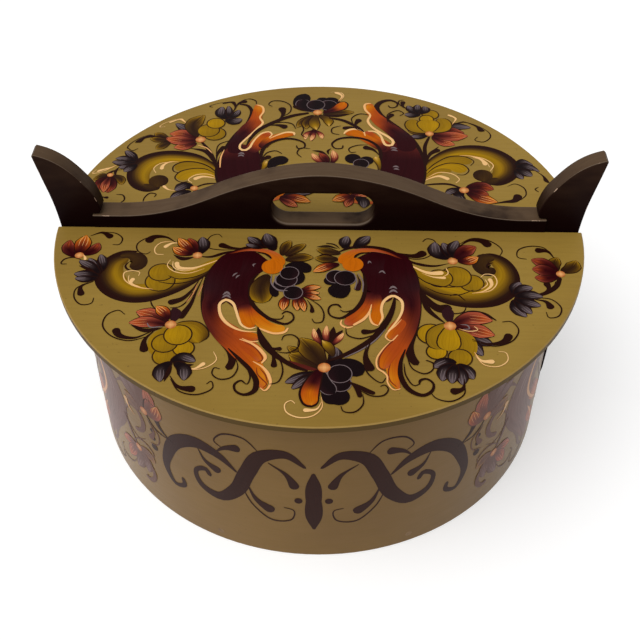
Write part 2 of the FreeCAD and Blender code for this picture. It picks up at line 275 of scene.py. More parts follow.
lid_paint = painted_ground(
    "lid_paint",
    varnish=0.0,
    brushing=(1, 12, 1),
    warm=tone(148, 119, 52),
    cool=tone(137, 108, 46),
    bare=under_lid,
    wood_grain=(1, 14, 4),
    rim=tone(88, 67, 30),
)
dress("lid_board", lid_paint)


# Handle bar: an upright board cut to a low arch with a hand hole, doweled to
# the lid from below. It has the posts' dark paint.
dress("handle_bar", dark_paint)


# Rosemaling on the lid: loaded-brush scrolls, flowers and fine tendrils, in oil
# paint on the dry olive ground. Each stroke is a film of its own, laid over the
# ones before it. Sizes are in millimetres.
def edge_of(node, axis):
    """Where a node ends along an axis, read off the frame to a tenth of a millimetre."""
    return round(1000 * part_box(node)[1][axis], 1)


LID_TOP = edge_of("lid_board", axis=2)
BAND_FACE = edge_of("side_band", axis=0)
FIRST_COAT = 0.05
COAT = 0.0022
FILM = 0.02


def oil_paint(name, varnish):
    """Oil paint in the colour laid at each point, streaked along the stroke by the brush."""
    finish, tree, skin = new_finish(name, varnish)
    laid = put(tree, "Attribute", attribute_name="paint").outputs["Color"]
    run = put(tree, "UVMap", uv_map="run").outputs[0]
    where = put(tree, "TexCoord").outputs["Object"]
    wander = put(tree, "VectorMath", {0: where, 1: (60, 60, 60)}, operation="MULTIPLY").outputs[0]
    drawn = put(tree, "Mapping", {"Vector": run, "Scale": (1.6, 16, 1)}).outputs[0]
    bristle = put(tree, "VectorMath", {0: drawn, 1: wander}, operation="ADD").outputs[0]
    hairs = put(tree, "TexNoise", {"Vector": bristle, "Scale": 1.0, "Detail": 4.0}).outputs[0]
    deeper = blend_colours(tree, 1.0, laid, tone(238, 236, 233), "MULTIPLY")
    shade = blend_colours(tree, step_between(tree, hairs, 0.42, 0.66), laid, deeper)
    tree.links.new(shade, skin.inputs["Base Color"])
    tree.links.new(sum_of(tree, "MULTIPLY_ADD", hairs, 0.2, 0.3), skin.inputs["Roughness"])
    skin.inputs["Specular IOR Level"].default_value = 0.02
    roughen(tree, skin, hairs, depth=0.00006)
    return finish


painting_finishes = {
    "lid": oil_paint("lid_oil_paint", varnish=0.0),
    "box": oil_paint("band_oil_paint", varnish=0.6),
}

POT = {
    "ink": (36, 13, 8),
    "umber": (46, 14, 3),
    "soot": (20, 9, 11),
    "maroon": (42, 4, 9),
    "wine": (84, 28, 22),
    "brick": (166, 68, 20),
    "orange": (192, 98, 8),
    "amber": (206, 130, 26),
    "rose": (174, 84, 58),
    "light": (238, 176, 112),
    "cream": (240, 192, 130),
    "ochre": (136, 102, 18),
    "straw": (158, 119, 15),
    "gold": (178, 134, 12),
    "olive": (116, 82, 15),
    "moss": (72, 48, 15),
    "bark": (42, 23, 12),
    "smoke": (63, 52, 51),
    "mist": (118, 102, 103),
    "peach": (188, 124, 70),
    "slate": (84, 72, 76),
    "plum": (44, 18, 22),
}

SHADES = 7


def tint(*rows):
    """A table of colours: one row for each stage along a stroke, read across it."""
    table = []
    for row in rows:
        shades = numpy.array([POT[word] for word in row.split()], float)
        at = numpy.linspace(0, 1, len(shades))
        full = [numpy.interp(numpy.linspace(0, 1, SHADES), at, shades[:, k]) for k in range(3)]
        table.append(numpy.stack(full, 1))
    return numpy.array(table)


PLAIN = ("ink", "umber", "plum", "wine", "mist", "light")
TINTS = {word: tint(word) for word in PLAIN}
TINTS |= {
    "blush_light": tint("rose light"),
    "brick": tint("brick wine"),
    "cream": tint("light", "cream", "cream"),
    "coal": tint("soot"),
    "soot": tint("soot", "soot soot plum"),
    "peach": tint("brick peach brick", "peach light peach", "brick peach brick"),
    "smoke": tint(
        "ink",
        "soot",
        "soot",
        "soot smoke soot",
        "soot smoke slate smoke soot",
        "smoke slate mist slate smoke",
        "slate mist slate",
    ),
    "red": tint("maroon", "maroon", "wine maroon wine", "rose wine brick wine rose", "rose wine rose"),
    "rose": tint("maroon", "wine maroon wine", "rose wine rose", "rose brick rose", "rose"),
    "blush": tint("maroon", "maroon", "wine rose wine", "rose light rose", "rose light rose"),
    "flame": tint("maroon", "maroon", "brick wine brick", "amber brick amber", "amber orange amber"),
    "fern": tint(
        "bark",
        "bark",
        "moss bark moss",
        "olive moss bark moss olive",
        "straw olive moss olive straw",
        "straw olive straw",
    ),
    "straw": tint("bark", "moss", "olive straw olive", "straw cream straw"),
    "ochre": tint("ochre", "straw ochre", "ochre"),
    "bright": tint("straw", "gold straw", "straw"),
    "dusk": tint("ochre", "ochre straw olive", "olive straw olive bark"),
    "bark": tint("bark moss bark", "moss bark bark"),
    "body": tint("maroon", "maroon", "plum maroon", "maroon", "maroon", "wine maroon", "wine"),
    "c_scroll": tint(
        "moss olive bark",
        "ochre straw straw ochre olive bark ink",
        "ochre straw gold ochre olive bark ink",
        "ochre straw straw ochre olive bark ink",
        "olive ochre straw olive moss bark ink",
        "moss olive moss bark ink",
    ),
    "tail": tint(
        "maroon",
        "maroon",
        "maroon",
        "plum maroon",
        "wine maroon wine",
        "wine brick",
        "brick",
        "brick orange",
        "orange amber",
        "rose orange",
    ),
    "red_lick": tint("maroon", "wine", "brick", "orange brick", "brick", "rose"),
    "orange_lick": tint("maroon", "wine", "orange brick", "orange", "orange", "orange brick"),
    "amber_lick": tint("wine maroon", "brick", "orange", "amber orange", "amber", "amber"),
    "long_petal": tint(
        "maroon",
        "maroon",
        "wine maroon wine",
        "brick orange brick",
        "orange",
        "brick amber brick",
    ),
    "hook": tint("maroon", "brick wine", "rose brick", "orange rose", "orange", "orange"),
    "hook_eye": tint("orange", "orange", "orange"),
    "lick": tint("brick", "brick", "brick orange", "rose orange"),
}

# the colour of a stroke's outline, and how far it stands out all round in that colour
OUTLINES = {
    "smoke": "ink",
    "red": "ink",
    "rose": "ink",
    "flame": "ink",
    "fern": "ink",
    "ochre": "bark",
    "bright": "bark",
    "dusk": "bark",
    "straw": "ink",
    "soot": "mist",
}
EDGES = {"ink": 0.55, "bark": 0.8, "mist": 0.4}

# the fine lights drawn up a petal: their colour, half width and place in its half width
VEINS = {
    "smoke": "mist",
    "red": "rose",
    "rose": "blush_light",
    "flame": "light",
    "blush": "cream",
    "fern": "straw",
}
VEIN_SIZE = 0.16
VEIN_PLACES = (-0.45, 0, 0.45)

# how wide each kind of stroke is: places along it, and shares of its full width there
PROFILES = {
    "petal": ([0, 0.15, 0.45, 0.68, 0.86, 1], [0.14, 0.5, 0.92, 0.94, 0.52, 0.03]),
    "lobe": ([0, 0.15, 0.45, 0.7, 0.85, 0.95, 1], [0.14, 0.5, 0.9, 1, 0.86, 0.52, 0.05]),
    "leaf": ([0, 0.25, 0.5, 0.75, 1], [0.04, 0.72, 1, 0.66, 0.04]),
    "tear": ([0, 0.3, 0.6, 0.85, 1], [0.08, 0.24, 0.55, 0.92, 1]),
    "hair": ([0, 0.2, 0.6, 0.9, 1], [0.25, 0.8, 1, 0.7, 0.5]),
}

# a stroke's faces: how many across, fewer where the colour is even across it, and how
# many along, by the length of a step; an end at least this wide is rounded
ACROSS = {"disc": 10, "own": 8, "petal": 6, "lobe": 6, "leaf": 4, "tear": 4, "hair": 2}
EVEN = ("ink", "umber", "cream")
DISC_STEPS = 20
FINE_STEPS = 24
FEWEST_STEPS = 12
MOST_STEPS = 52
END_STEPS = 6
STEP = 1.3
ROUNDED_FROM = 0.25


def flowing(points, count):
    """Steps along a smooth line through the points, closer at its two ends."""
    knots = numpy.array(points, float)
    chords = numpy.hypot(*numpy.diff(knots[:, :2], axis=0).T)
    at = numpy.concatenate(([0.0], numpy.cumsum(chords)))
    slopes = numpy.gradient(knots, at, axis=0)
    fine = numpy.linspace(0, at[-1], FINE_STEPS * len(knots))
    cell = numpy.clip(numpy.searchsorted(at, fine, side="right") - 1, 0, len(chords) - 1)
    span = chords[cell][:, None]
    t = (fine - at[cell])[:, None] / span
    near, far = knots[cell], knots[cell + 1]
    path = (2 * t**3 - 3 * t**2 + 1) * near + (3 * t**2 - 2 * t**3) * far
    path += span * ((t**3 - 2 * t**2 + t) * slopes[cell] + (t**3 - t**2) * slopes[cell + 1])
    legs = numpy.hypot(*numpy.diff(path[:, :2], axis=0).T)
    walked = numpy.concatenate(([0.0], numpy.cumsum(legs)))
    even = numpy.linspace(0, 1, count)
    eased = (1 - numpy.cos(numpy.pi * even)) / 2
    steps = walked[-1] * (0.5 * eased + 0.5 * even)
    line = numpy.stack([numpy.interp(steps, walked, path[:, k]) for k in range(path.shape[1])], 1)
    return line, steps


def lay(sheet, place, line, half_width, colours, across, coat):
    """One brush stroke: a flat strip along the line, coloured from its tint."""
    tangent = numpy.gradient(line[:, :2], axis=0)
    tangent /= numpy.maximum(numpy.hypot(*tangent.T), 1e-9)[:, None]
    aside = numpy.stack([-tangent[:, 1], tangent[:, 0]], 1)
    long = len(line) - 1
    paint = sheet.verts.layers.float_color["paint"]
    grid = bmesh.ops.create_grid(sheet, x_segments=long, y_segments=across, size=0.5, calc_uvs=True)
    height = FIRST_COAT + coat * COAT
    rows = len(colours)
    for vert in grid["verts"]:
        u, v = vert.co.x + 0.5, vert.co.y + 0.5
        i = min(int(round(u * long)), long)
        flat = line[i, :2] + aside[i] * half_width[i] * (2 * v - 1)
        stage = u * (rows - 1)
        low = min(int(stage), max(rows - 2, 0))
        high = min(low + 1, rows - 1)
        row = colours[low] + (colours[high] - colours[low]) * (stage - low)
        column = v * (SHADES - 1)
        left = min(int(column), SHADES - 2)
        colour = row[left] + (row[left + 1] - row[left]) * (column - left)
        vert[paint] = tone(*colour)
        vert.co = place(flat[0], flat[1], height)


def stroke(sheet, place, kind, size, colour, points, coat, swell=0.0):
    """Shape a stroke from its kind and lay it; swell makes it that much larger all round."""
    if kind == "disc":
        (x, v), r = points[0], size
        points = [(x, v - r - swell, r), (x, v, r), (x, v + r + swell, r)]
        steps = DISC_STEPS
    else:
        length = sum(math.dist(a[:2], b[:2]) for a, b in zip(points, points[1:]))
        steps = max(FEWEST_STEPS, min(MOST_STEPS, int(length / STEP) + END_STEPS))
    across = 2 if kind == "own" and colour in EVEN else ACROSS[kind]
    line, walked = flowing(points, steps + 1)
    if kind in PROFILES:
        half = size * numpy.interp(walked / walked[-1], *PROFILES[kind])
    else:
        half = numpy.maximum(line[:, 2], 0.0)
    half = half + swell
    for end, gap in ((half[0], walked), (half[-1], walked[-1] - walked)):
        if end > ROUNDED_FROM:
            near = numpy.clip(1 - gap / end, 0, 1)
            half = half * numpy.sqrt(numpy.clip(1 - near**2, 0.0004, 1))
    lay(sheet, place, line, half, TINTS[colour], across, coat)


def lay_veins(sheet, place, size, colour, points, coat):
    """Fine lights side by side up a petal's outer half, drawn together at its tip."""
    _, (x1, v1), (x2, v2) = points
    long = math.dist((x1, v1), (x2, v2))
    aside_x, aside_v = (v1 - v2) / long * size, (x2 - x1) / long * size
    for share in VEIN_PLACES:
        dx, dv = share * aside_x, share * aside_v
        line = [
            (x1 + dx, v1 + dv),
            ((x1 + x2) / 2 + dx, (v1 + v2) / 2 + dv),
            (0.08 * x1 + 0.92 * x2 + dx / 2, 0.08 * v1 + 0.92 * v2 + dv / 2),
        ]
        stroke(sheet, place, "hair", VEIN_SIZE, VEINS[colour], line, coat)


def paint_all(sheet, place, strokes, coat=0):
    """Lay the strokes in their order, each over the last, with its outline and its veins."""
    for kind, size, colour, *points in strokes:
        if colour in OUTLINES and kind != "own":
            edge = OUTLINES[colour]
            stroke(sheet, place, kind, size, edge, points, coat, EDGES[edge])
            coat += 1
        stroke(sheet, place, kind, size, colour, points, coat)
        coat += 1
        if colour in VEINS and kind == "petal":
            lay_veins(sheet, place, size, colour, points, coat)
            coat += 1


# A stroke is its kind, half width, colour and points: how far out along the bar from
# the lid's middle, then how far off from the bar. An "own" stroke has no one half
# width, so each of its points gives one. The first in a list lies lowest.
RIGHT_SCROLL = [
    # maroon scroll: a hooked head, then two tails that part round a cream slit
    ("own", 0, "ink", (11, 23.5, 0.3), (18, 19.6, 1), (30, 19, 1.3), (40, 22, 1.4), (47.6, 29.6, 1.3),
     (52.8, 40, 1.3), (54.4, 52, 1.1), (54.6, 64, 1.1), (53.2, 76, 1.3), (50.2, 88, 1.6), (48, 97, 2),
     (48.8, 104.4, 2.3), (51.6, 109, 1.9)),
    ("own", 0, "body", (30, 23, 2), (31, 29, 11.4), (32, 34, 10), (33, 41, 8.3), (33, 52, 8.2),
     (33, 57.6, 8), (31, 60.2, 6.2), (30.4, 62.4, 5.4), (29.6, 66, 4.4), (29.4, 68.4, 1)),
    ("own", 0, "red_lick", (28.6, 56, 3), (27.8, 62, 3.1), (26, 68, 3.1), (22.4, 74, 3.8), (18, 78.6, 3.4),
     (15.2, 80.8, 1.8)),
    ("own", 0, "orange_lick", (31.4, 57, 3), (32, 64, 2.7), (31.9, 71, 2.7), (31.3, 76, 2.8),
     (31.6, 81.4, 0.6)),
    ("own", 0, "tail", (39, 23, 2), (43.6, 31, 7.4), (44.8, 40, 8.2), (46.6, 50, 8.4), (48.2, 58, 7.2),
     (49.6, 60.8, 5.7), (50.2, 64, 4.9), (50, 70, 4.8), (48.9, 76, 4.9), (47.2, 82, 5.2), (45.2, 89, 4.8),
     (42.8, 95, 4.7), (40.6, 101, 4.9), (39.2, 107, 4.4), (39, 113, 3.2), (39.6, 120, 2.6),
     (41.6, 125.4, 1)),
    ("own", 0, "lick", (45.6, 77, 2.6), (42, 82.6, 3.6), (39.6, 87.4, 3), (38.4, 91.4, 1.6)),
    ("own", 0, "lick", (42, 94, 3.2), (37.8, 101, 4), (35.2, 107, 3.4), (34.6, 112, 1.8)),
    ("hair", 0.45, "brick", (42, 88), (40, 92), (35, 99), (32.4, 106), (33, 111.6), (35.6, 113)),
    ("hair", 0.45, "brick", (38, 108.6), (36.8, 114), (37.6, 120), (40.4, 123.6)),
    ("hair", 0.45, "light", (44.6, 76.6), (41.6, 81), (37.4, 86), (36, 90), (38.4, 92.4), (42.4, 88)),
    ("hair", 0.5, "light", (38.4, 92.8), (34, 99), (31, 106.4), (31.8, 112), (34.4, 114.2), (36, 116.4),
     (36.2, 121), (39.6, 125.8), (42.4, 125)),
    ("own", 0, "light", (29.2, 65.6, 0.2), (28.2, 70.6, 0.5), (25.6, 76, 0.8), (19.4, 81.6, 0.7)),
    ("own", 0, "light", (19.6, 82.4, 0.3), (16, 83.2, 0.6), (13, 80.6, 0.5), (13.6, 77.4, 0.3)),
    ("own", 0, "light", (28.4, 71, 0.2), (28.2, 76, 0.5), (30, 80.4, 0.6), (32.6, 81.6, 0.3)),
    ("own", 0, "cream", (32.6, 81.2, 0.3), (34.7, 76, 0.6), (34.3, 69, 0.7), (36, 62.6, 0.8),
     (40.8, 58.8, 0.9), (44.8, 62, 0.8), (45.4, 68.6, 0.7), (43.4, 75.4, 0.6), (40, 81.6, 0.5),
     (37.2, 86, 0.4)),
    ("leaf", 0.8, "mist", (38.8, 53.4), (41, 51.6), (43.2, 53.4)),
    ("leaf", 0.8, "mist", (38.6, 56.4), (41, 54.4), (43.4, 56.4)),
    ("leaf", 0.6, "mist", (33.4, 40.6), (35.4, 39), (37.2, 41.4)),
    ("leaf", 0.5, "mist", (27.6, 33), (28.6, 31), (29.6, 32.6)),
    # dark stem from the slit, and its teardrops
    ("own", 0, "ink", (41.6, 59.8, 0.5), (40.8, 66, 1.1), (38.6, 74, 1.6), (35, 82, 1.8), (30, 90.4, 1.8),
     (22.4, 97.6, 1.6), (14, 103.4, 1.2), (7, 107, 0.6)),
    ("hair", 0.4, "mist", (36, 84), (31.6, 91), (24, 98.6), (15, 104.6)),
    ("tear", 2, "ink", (34.6, 81), (30, 85.4), (23.4, 86.2)),
    ("tear", 2.4, "ink", (28.4, 93), (25.8, 103), (28.4, 113.6)),
    ("hair", 0.42, "ink", (26.4, 95), (24.6, 106), (27.6, 116.6), (33.6, 121), (35.4, 118)),
    ("hair", 0.45, "ink", (15.6, 83), (16.4, 88.4), (21.6, 91), (31, 88)),
    ("own", 0, "ink", (17, 121, 0.5), (22, 124, 1.2), (27.6, 127.4, 1.3), (30, 128.4, 1)),
    ("own", 0, "ink", (19, 122, 0.5), (21.6, 126.4, 1.3), (22.8, 131, 1.2)),
    ("hair", 0.42, "ink", (22.4, 126.4), (29, 130), (34.6, 129), (36.4, 125), (34.6, 122.6), (32.6, 123.6)),
    ("hair", 0.42, "ink", (24, 128.6), (24, 135.4), (19.4, 140.4), (14.4, 139.6), (13.4, 136.6)),
    # curls beside the long tail
    ("own", 0, "ink", (45.8, 98, 0.3), (43, 108, 1), (43.2, 118.6, 1.4), (47.4, 126.4, 1.3), (53.4, 129, 1),
     (58, 125.4, 0.8), (58.4, 121, 0.6), (55, 118.2, 0.6), (52.2, 119.4, 0.7), (51.6, 122, 0.4)),
    ("hair", 0.42, "ink", (44.6, 108), (45.6, 117), (49.6, 122.8), (52, 121.6)),
    ("hair", 0.42, "ink", (46, 102), (49.6, 112.4), (55, 114.8), (58.8, 112), (59, 107.6), (56.4, 105.6)),
    # edge line and its curl inside the maroon scroll
    ("own", 0, "ink", (25, 40, 0.4), (26, 48, 1), (25.6, 57, 1.1), (23.4, 65, 1.3), (18.6, 72, 1.1),
     (12, 76.4, 0.7), (7.6, 74.4, 0.5), (6.4, 70, 0.5), (8, 66.6, 0.5), (11.4, 66.2, 0.6),
     (13.2, 68.6, 0.4)),
    ("hair", 0.42, "ink", (23, 65.6), (18.6, 70.4), (14.4, 71.4), (12.6, 70)),
    # blue-black lobes under the hook
    ("disc", 3.4, "coal", (7, 47.4)),
    ("disc", 5, "soot", (10, 44)),
    ("lobe", 6, "coal", (15.4, 46), (12.6, 54), (8.6, 60)),
    ("disc", 5.6, "soot", (15.2, 45)),
    ("tear", 1.9, "plum", (21.6, 42), (23, 49), (21.2, 55)),
    ("hair", 0.4, "mist", (20, 41), (21.4, 47), (20.4, 54)),
    ("hair", 0.4, "mist", (22, 41), (24.6, 47), (24.6, 56)),
    # orange hook over them
    ("own", 0, "hook", (47, 29, 0.4), (38, 23.6, 0.9), (30, 21.6, 1.4), (23.6, 22.4, 2), (18.4, 25.2, 3),
     (15.4, 29.4, 4.2), (16, 33.6, 4.8)),
    ("disc", 5.8, "hook_eye", (19.4, 33.8)),
    ("own", 0, "ink", (29, 23.8, 0.3), (23.6, 24.4, 0.6), (21, 26.6, 0.7), (20.2, 28.6, 0.4)),
]

RIGHT_QUARTER = [
    # olive C-scroll with its ochre lobes and cream lights
    ("own", 0, "ink", (48, 40, 0.3), (56, 53, 1.2), (67, 61.4, 1.7), (82, 65.2, 1.8), (96.4, 62.8, 1.8),
     (105, 55.4, 1.8), (108.4, 45.4, 1.6), (107, 34, 1.4), (102, 26.4, 1.2), (95, 23.4, 0.8),
     (89, 25.5, 0.3)),
    ("own", 0, "c_scroll", (40, 22, 0.6), (46, 31, 3.2), (53, 42, 6), (63, 51.2, 7.6), (76, 57, 8.2),
     (88.2, 56.8, 8), (97.8, 51, 7.6), (102.8, 42, 6.4), (101.4, 32.6, 5.2), (96, 27.4, 3.8),
     (91, 28.5, 3)),
    ("own", 0, "bark", (98, 26.5, 2.5), (92, 27.5, 4.4), (90.3, 34, 5.2), (93.8, 37.6, 4.2), (96.8, 35, 1.6)),
    ("own", 0, "ink", (97, 30.5, 0.3), (94, 31.6, 0.6), (93, 34.4, 0.5), (95, 36, 0.3)),
    ("disc", 6.2, "ochre", (83.5, 47.5)),
    ("disc", 7.8, "ochre", (75.5, 42.5)),
    ("disc", 6.6, "ochre", (66.5, 44)),
    ("own", 0, "ochre", (48, 31, 0.5), (54, 38, 3), (61, 43, 4.4), (68, 45.5, 3.4), (72, 44.5, 1)),
    ("hair", 0.45, "ink", (52, 40), (60, 48), (70, 51), (77, 50.5)),
    ("hair", 0.4, "ink", (58, 51), (66, 56), (76, 57), (84, 53)),
    ("tear", 1.6, "cream", (46, 27.5), (53, 35), (61, 39.8), (69, 39.5)),
    ("tear", 0.98, "cream", (57, 40), (63, 43), (70, 43.6)),
    ("hair", 0.29, "cream", (68, 43), (71.3, 40), (70.5, 35.5)),
    ("tear", 1.2, "cream", (83, 55.8), (90, 53.5), (94.2, 48.5), (93.4, 43.5)),
    ("hair", 0.32, "cream", (85, 55.5), (93.5, 53), (97.3, 46), (95.6, 40.8), (91, 40.4), (88.8, 42.8)),
    ("hair", 0.29, "cream", (88, 52.5), (92, 48), (91, 44.5)),
    ("hair", 0.4, "ink", (71, 58), (74, 56.6), (79, 61.4)),
    # tendrils that leave the scroll's arch
    ("leaf", 1.1, "ink", (44, 25), (54, 32), (64, 34), (73, 31.5)),
    ("tear", 2.7, "ink", (38, 20.5), (47, 24.6), (55, 25.6), (60, 22)),
    ("hair", 0.4, "ink", (45, 23.6), (53, 28.4), (60, 27), (63.6, 23), (62, 20.2)),
    # flower by the bar
    ("hair", 0.45, "ink", (66.5, 15), (65, 11.8), (61, 10.8), (58.8, 13.4)),
    ("petal", 4.2, "smoke", (72.5, 28), (66, 22.5), (65.5, 13.5)),
    ("petal", 3, "smoke", (73, 27), (72, 20), (70, 14)),
    ("petal", 3.4, "smoke", (75, 27), (75.5, 19), (78.5, 12)),
    ("petal", 4.6, "red", (76, 28), (81.5, 21.5), (88.5, 17)),
    ("petal", 3.4, "flame", (77, 29.5), (83, 29.4), (89, 26)),
    ("disc", 2.8, "peach", (74.5, 29.8)),
    ("tear", 2.8, "ink", (79, 17), (86, 11.6), (92.5, 12.4), (96.5, 17)),
    ("hair", 0.42, "ink", (78, 16), (88, 9.8), (98, 13), (102.8, 20.5), (100.4, 26)),
    # bud near the post
    ("own", 0, "ink", (132, 42, 1.1), (129, 49, 1.5), (122, 55, 1.3), (112, 58, 0.5)),
    ("tear", 2.1, "ink", (119, 56), (124.4, 51.5), (123.6, 46)),
    ("leaf", 0.8, "ink", (121, 55), (127, 51.5), (129, 45)),
    ("petal", 3.4, "fern", (131, 37), (130.4, 31), (133, 25.5)),
    ("petal", 4.2, "fern", (133, 37.5), (139.6, 34), (143, 28)),
    ("petal", 4.2, "red", (131.5, 38), (124.5, 31), (118, 27.5)),
    ("petal", 3.4, "red", (131.5, 40.5), (124.5, 43), (118, 42.5)),
    ("petal", 4.4, "red", (131, 39), (124, 36.4), (117.5, 35.5)),
    ("disc", 2.5, "peach", (132.6, 39.4)),
    ("tear", 2.4, "ink", (131, 26.5), (128, 20.6), (121, 19.6)),
    ("hair", 0.42, "ink", (130.5, 24.5), (126, 17.3), (118, 16.4), (111.4, 20.4), (111, 26), (115.6, 27.4)),
    # fan of blue-grey petals on the scroll's shoulder
    ("petal", 3, "smoke", (105, 57), (106.5, 51), (110, 46.5)),
    ("petal", 3.2, "smoke", (105, 57), (110.5, 52), (116, 50.5)),
    ("petal", 2.8, "smoke", (105, 60), (104.5, 66), (110, 73.5)),
    ("petal", 3, "smoke", (105, 59.5), (109, 66), (113, 71)),
    ("petal", 3, "smoke", (105, 59), (112, 62.5), (118.5, 65)),
    ("petal", 3.2, "smoke", (105, 58), (113, 56.5), (120.5, 58)),
    ("tear", 2.4, "ink", (116, 60), (121.5, 61.6), (124, 67.2)),
    ("hair", 0.42, "ink", (116, 58.5), (125, 60), (129, 66.5), (126, 73), (121.4, 73.6), (120.6, 69.5)),
    # cluster: red petals one way, ochre lobes the other
    ("tear", 3.4, "ink", (53, 46), (58, 59.5), (65, 68), (71.5, 67.5)),
    ("leaf", 1.6, "ink", (55.5, 52), (59, 69), (68, 80)),
    ("hair", 0.4, "ink", (62, 66), (70, 71.5), (77.5, 70), (79.3, 65.5)),
    ("own", 0, "ink", (73, 75, 0.5), (80, 70.6, 1.2), (88, 71.5, 1), (94, 76.5, 0.3)),
    ("petal", 3.4, "plum", (70, 79), (69, 72.6), (69.5, 66)),
    ("petal", 3.6, "smoke", (76, 85), (83, 90), (90.5, 94.5)),
    ("petal", 3.4, "smoke", (75, 86), (80, 94), (84.5, 102)),
    ("petal", 4.8, "rose", (71.5, 81.5), (81, 83.5), (92, 87.5)),
    ("petal", 4.8, "rose", (71, 79.5), (80, 75), (92, 76.6)),
    ("hair", 0.29, "cream", (74, 83), (79.5, 84.6), (83.6, 83.4), (82, 81)),
    ("hair", 0.4, "mist", (75, 79.8), (78.6, 80.4), (79.4, 82.6), (76, 83.4)),
    ("own", 0, "ochre", (72, 84, 1), (77, 90, 4), (77.5, 98, 4.4), (73, 104, 3)),
    ("disc", 5.6, "ochre", (73, 103.6)),
    ("disc", 4.8, "bright", (61.5, 99.6)),
    ("disc", 6.8, "bright", (59.4, 87)),
    ("lobe", 6.6, "ochre", (69, 79.5), (63.4, 88), (65, 98)),
    ("lobe", 5.8, "bright", (69.5, 81), (68.4, 90), (67.5, 99)),
    ("disc", 3.2, "peach", (69.5, 81)),
    ("tear", 2.3, "ink", (80, 90.5), (89, 93.6), (97, 91), (99.8, 86)),
    ("hair", 0.42, "ink", (80, 91.5), (92, 95), (101.6, 90), (104.5, 82), (101, 77), (96.8, 77.4)),
    ("tear", 1.5, "cream", (80.4, 99.5), (83.5, 105.4), (90, 106)),
    ("hair", 0.3, "cream", (80.4, 101.5), (85, 108.4), (92, 109), (96.8, 104.4), (96, 99.4), (92.6, 98.8)),
    # blue bud at the foot of the cluster
    ("hair", 0.4, "ink", (62, 110), (58.8, 107), (55.6, 105.6)),
    ("petal", 3, "smoke", (71, 107), (66, 106.4), (59, 110.6)),
    ("petal", 3.2, "smoke", (71, 108), (75.4, 112), (78.6, 118)),
    ("petal", 3.4, "smoke", (70.5, 108), (65, 112), (63, 119.5)),
    ("petal", 3.2, "smoke", (71, 108), (72.6, 115), (73, 122)),
    ("petal", 3.2, "smoke", (70.6, 108), (68.6, 114), (67.6, 121)),
    ("tear", 2.4, "ink", (74, 118), (72.6, 124.4), (66.4, 126.6)),
    ("hair", 0.42, "ink", (73.6, 119), (73, 128), (66, 132.6), (59, 130.4), (56.6, 126.6)),
]

LEFT_HOOK = [
    ("own", 0, "hook", (50, 26.4, 0.4), (42, 23.2, 0.8), (34, 22.6, 1.2), (28.4, 24, 1.9), (24, 27.6, 3),
     (21.8, 32, 3.8), (22.6, 36.4, 4.3)),
    ("disc", 5.9, "hook_eye", (24.8, 36.6)),
]

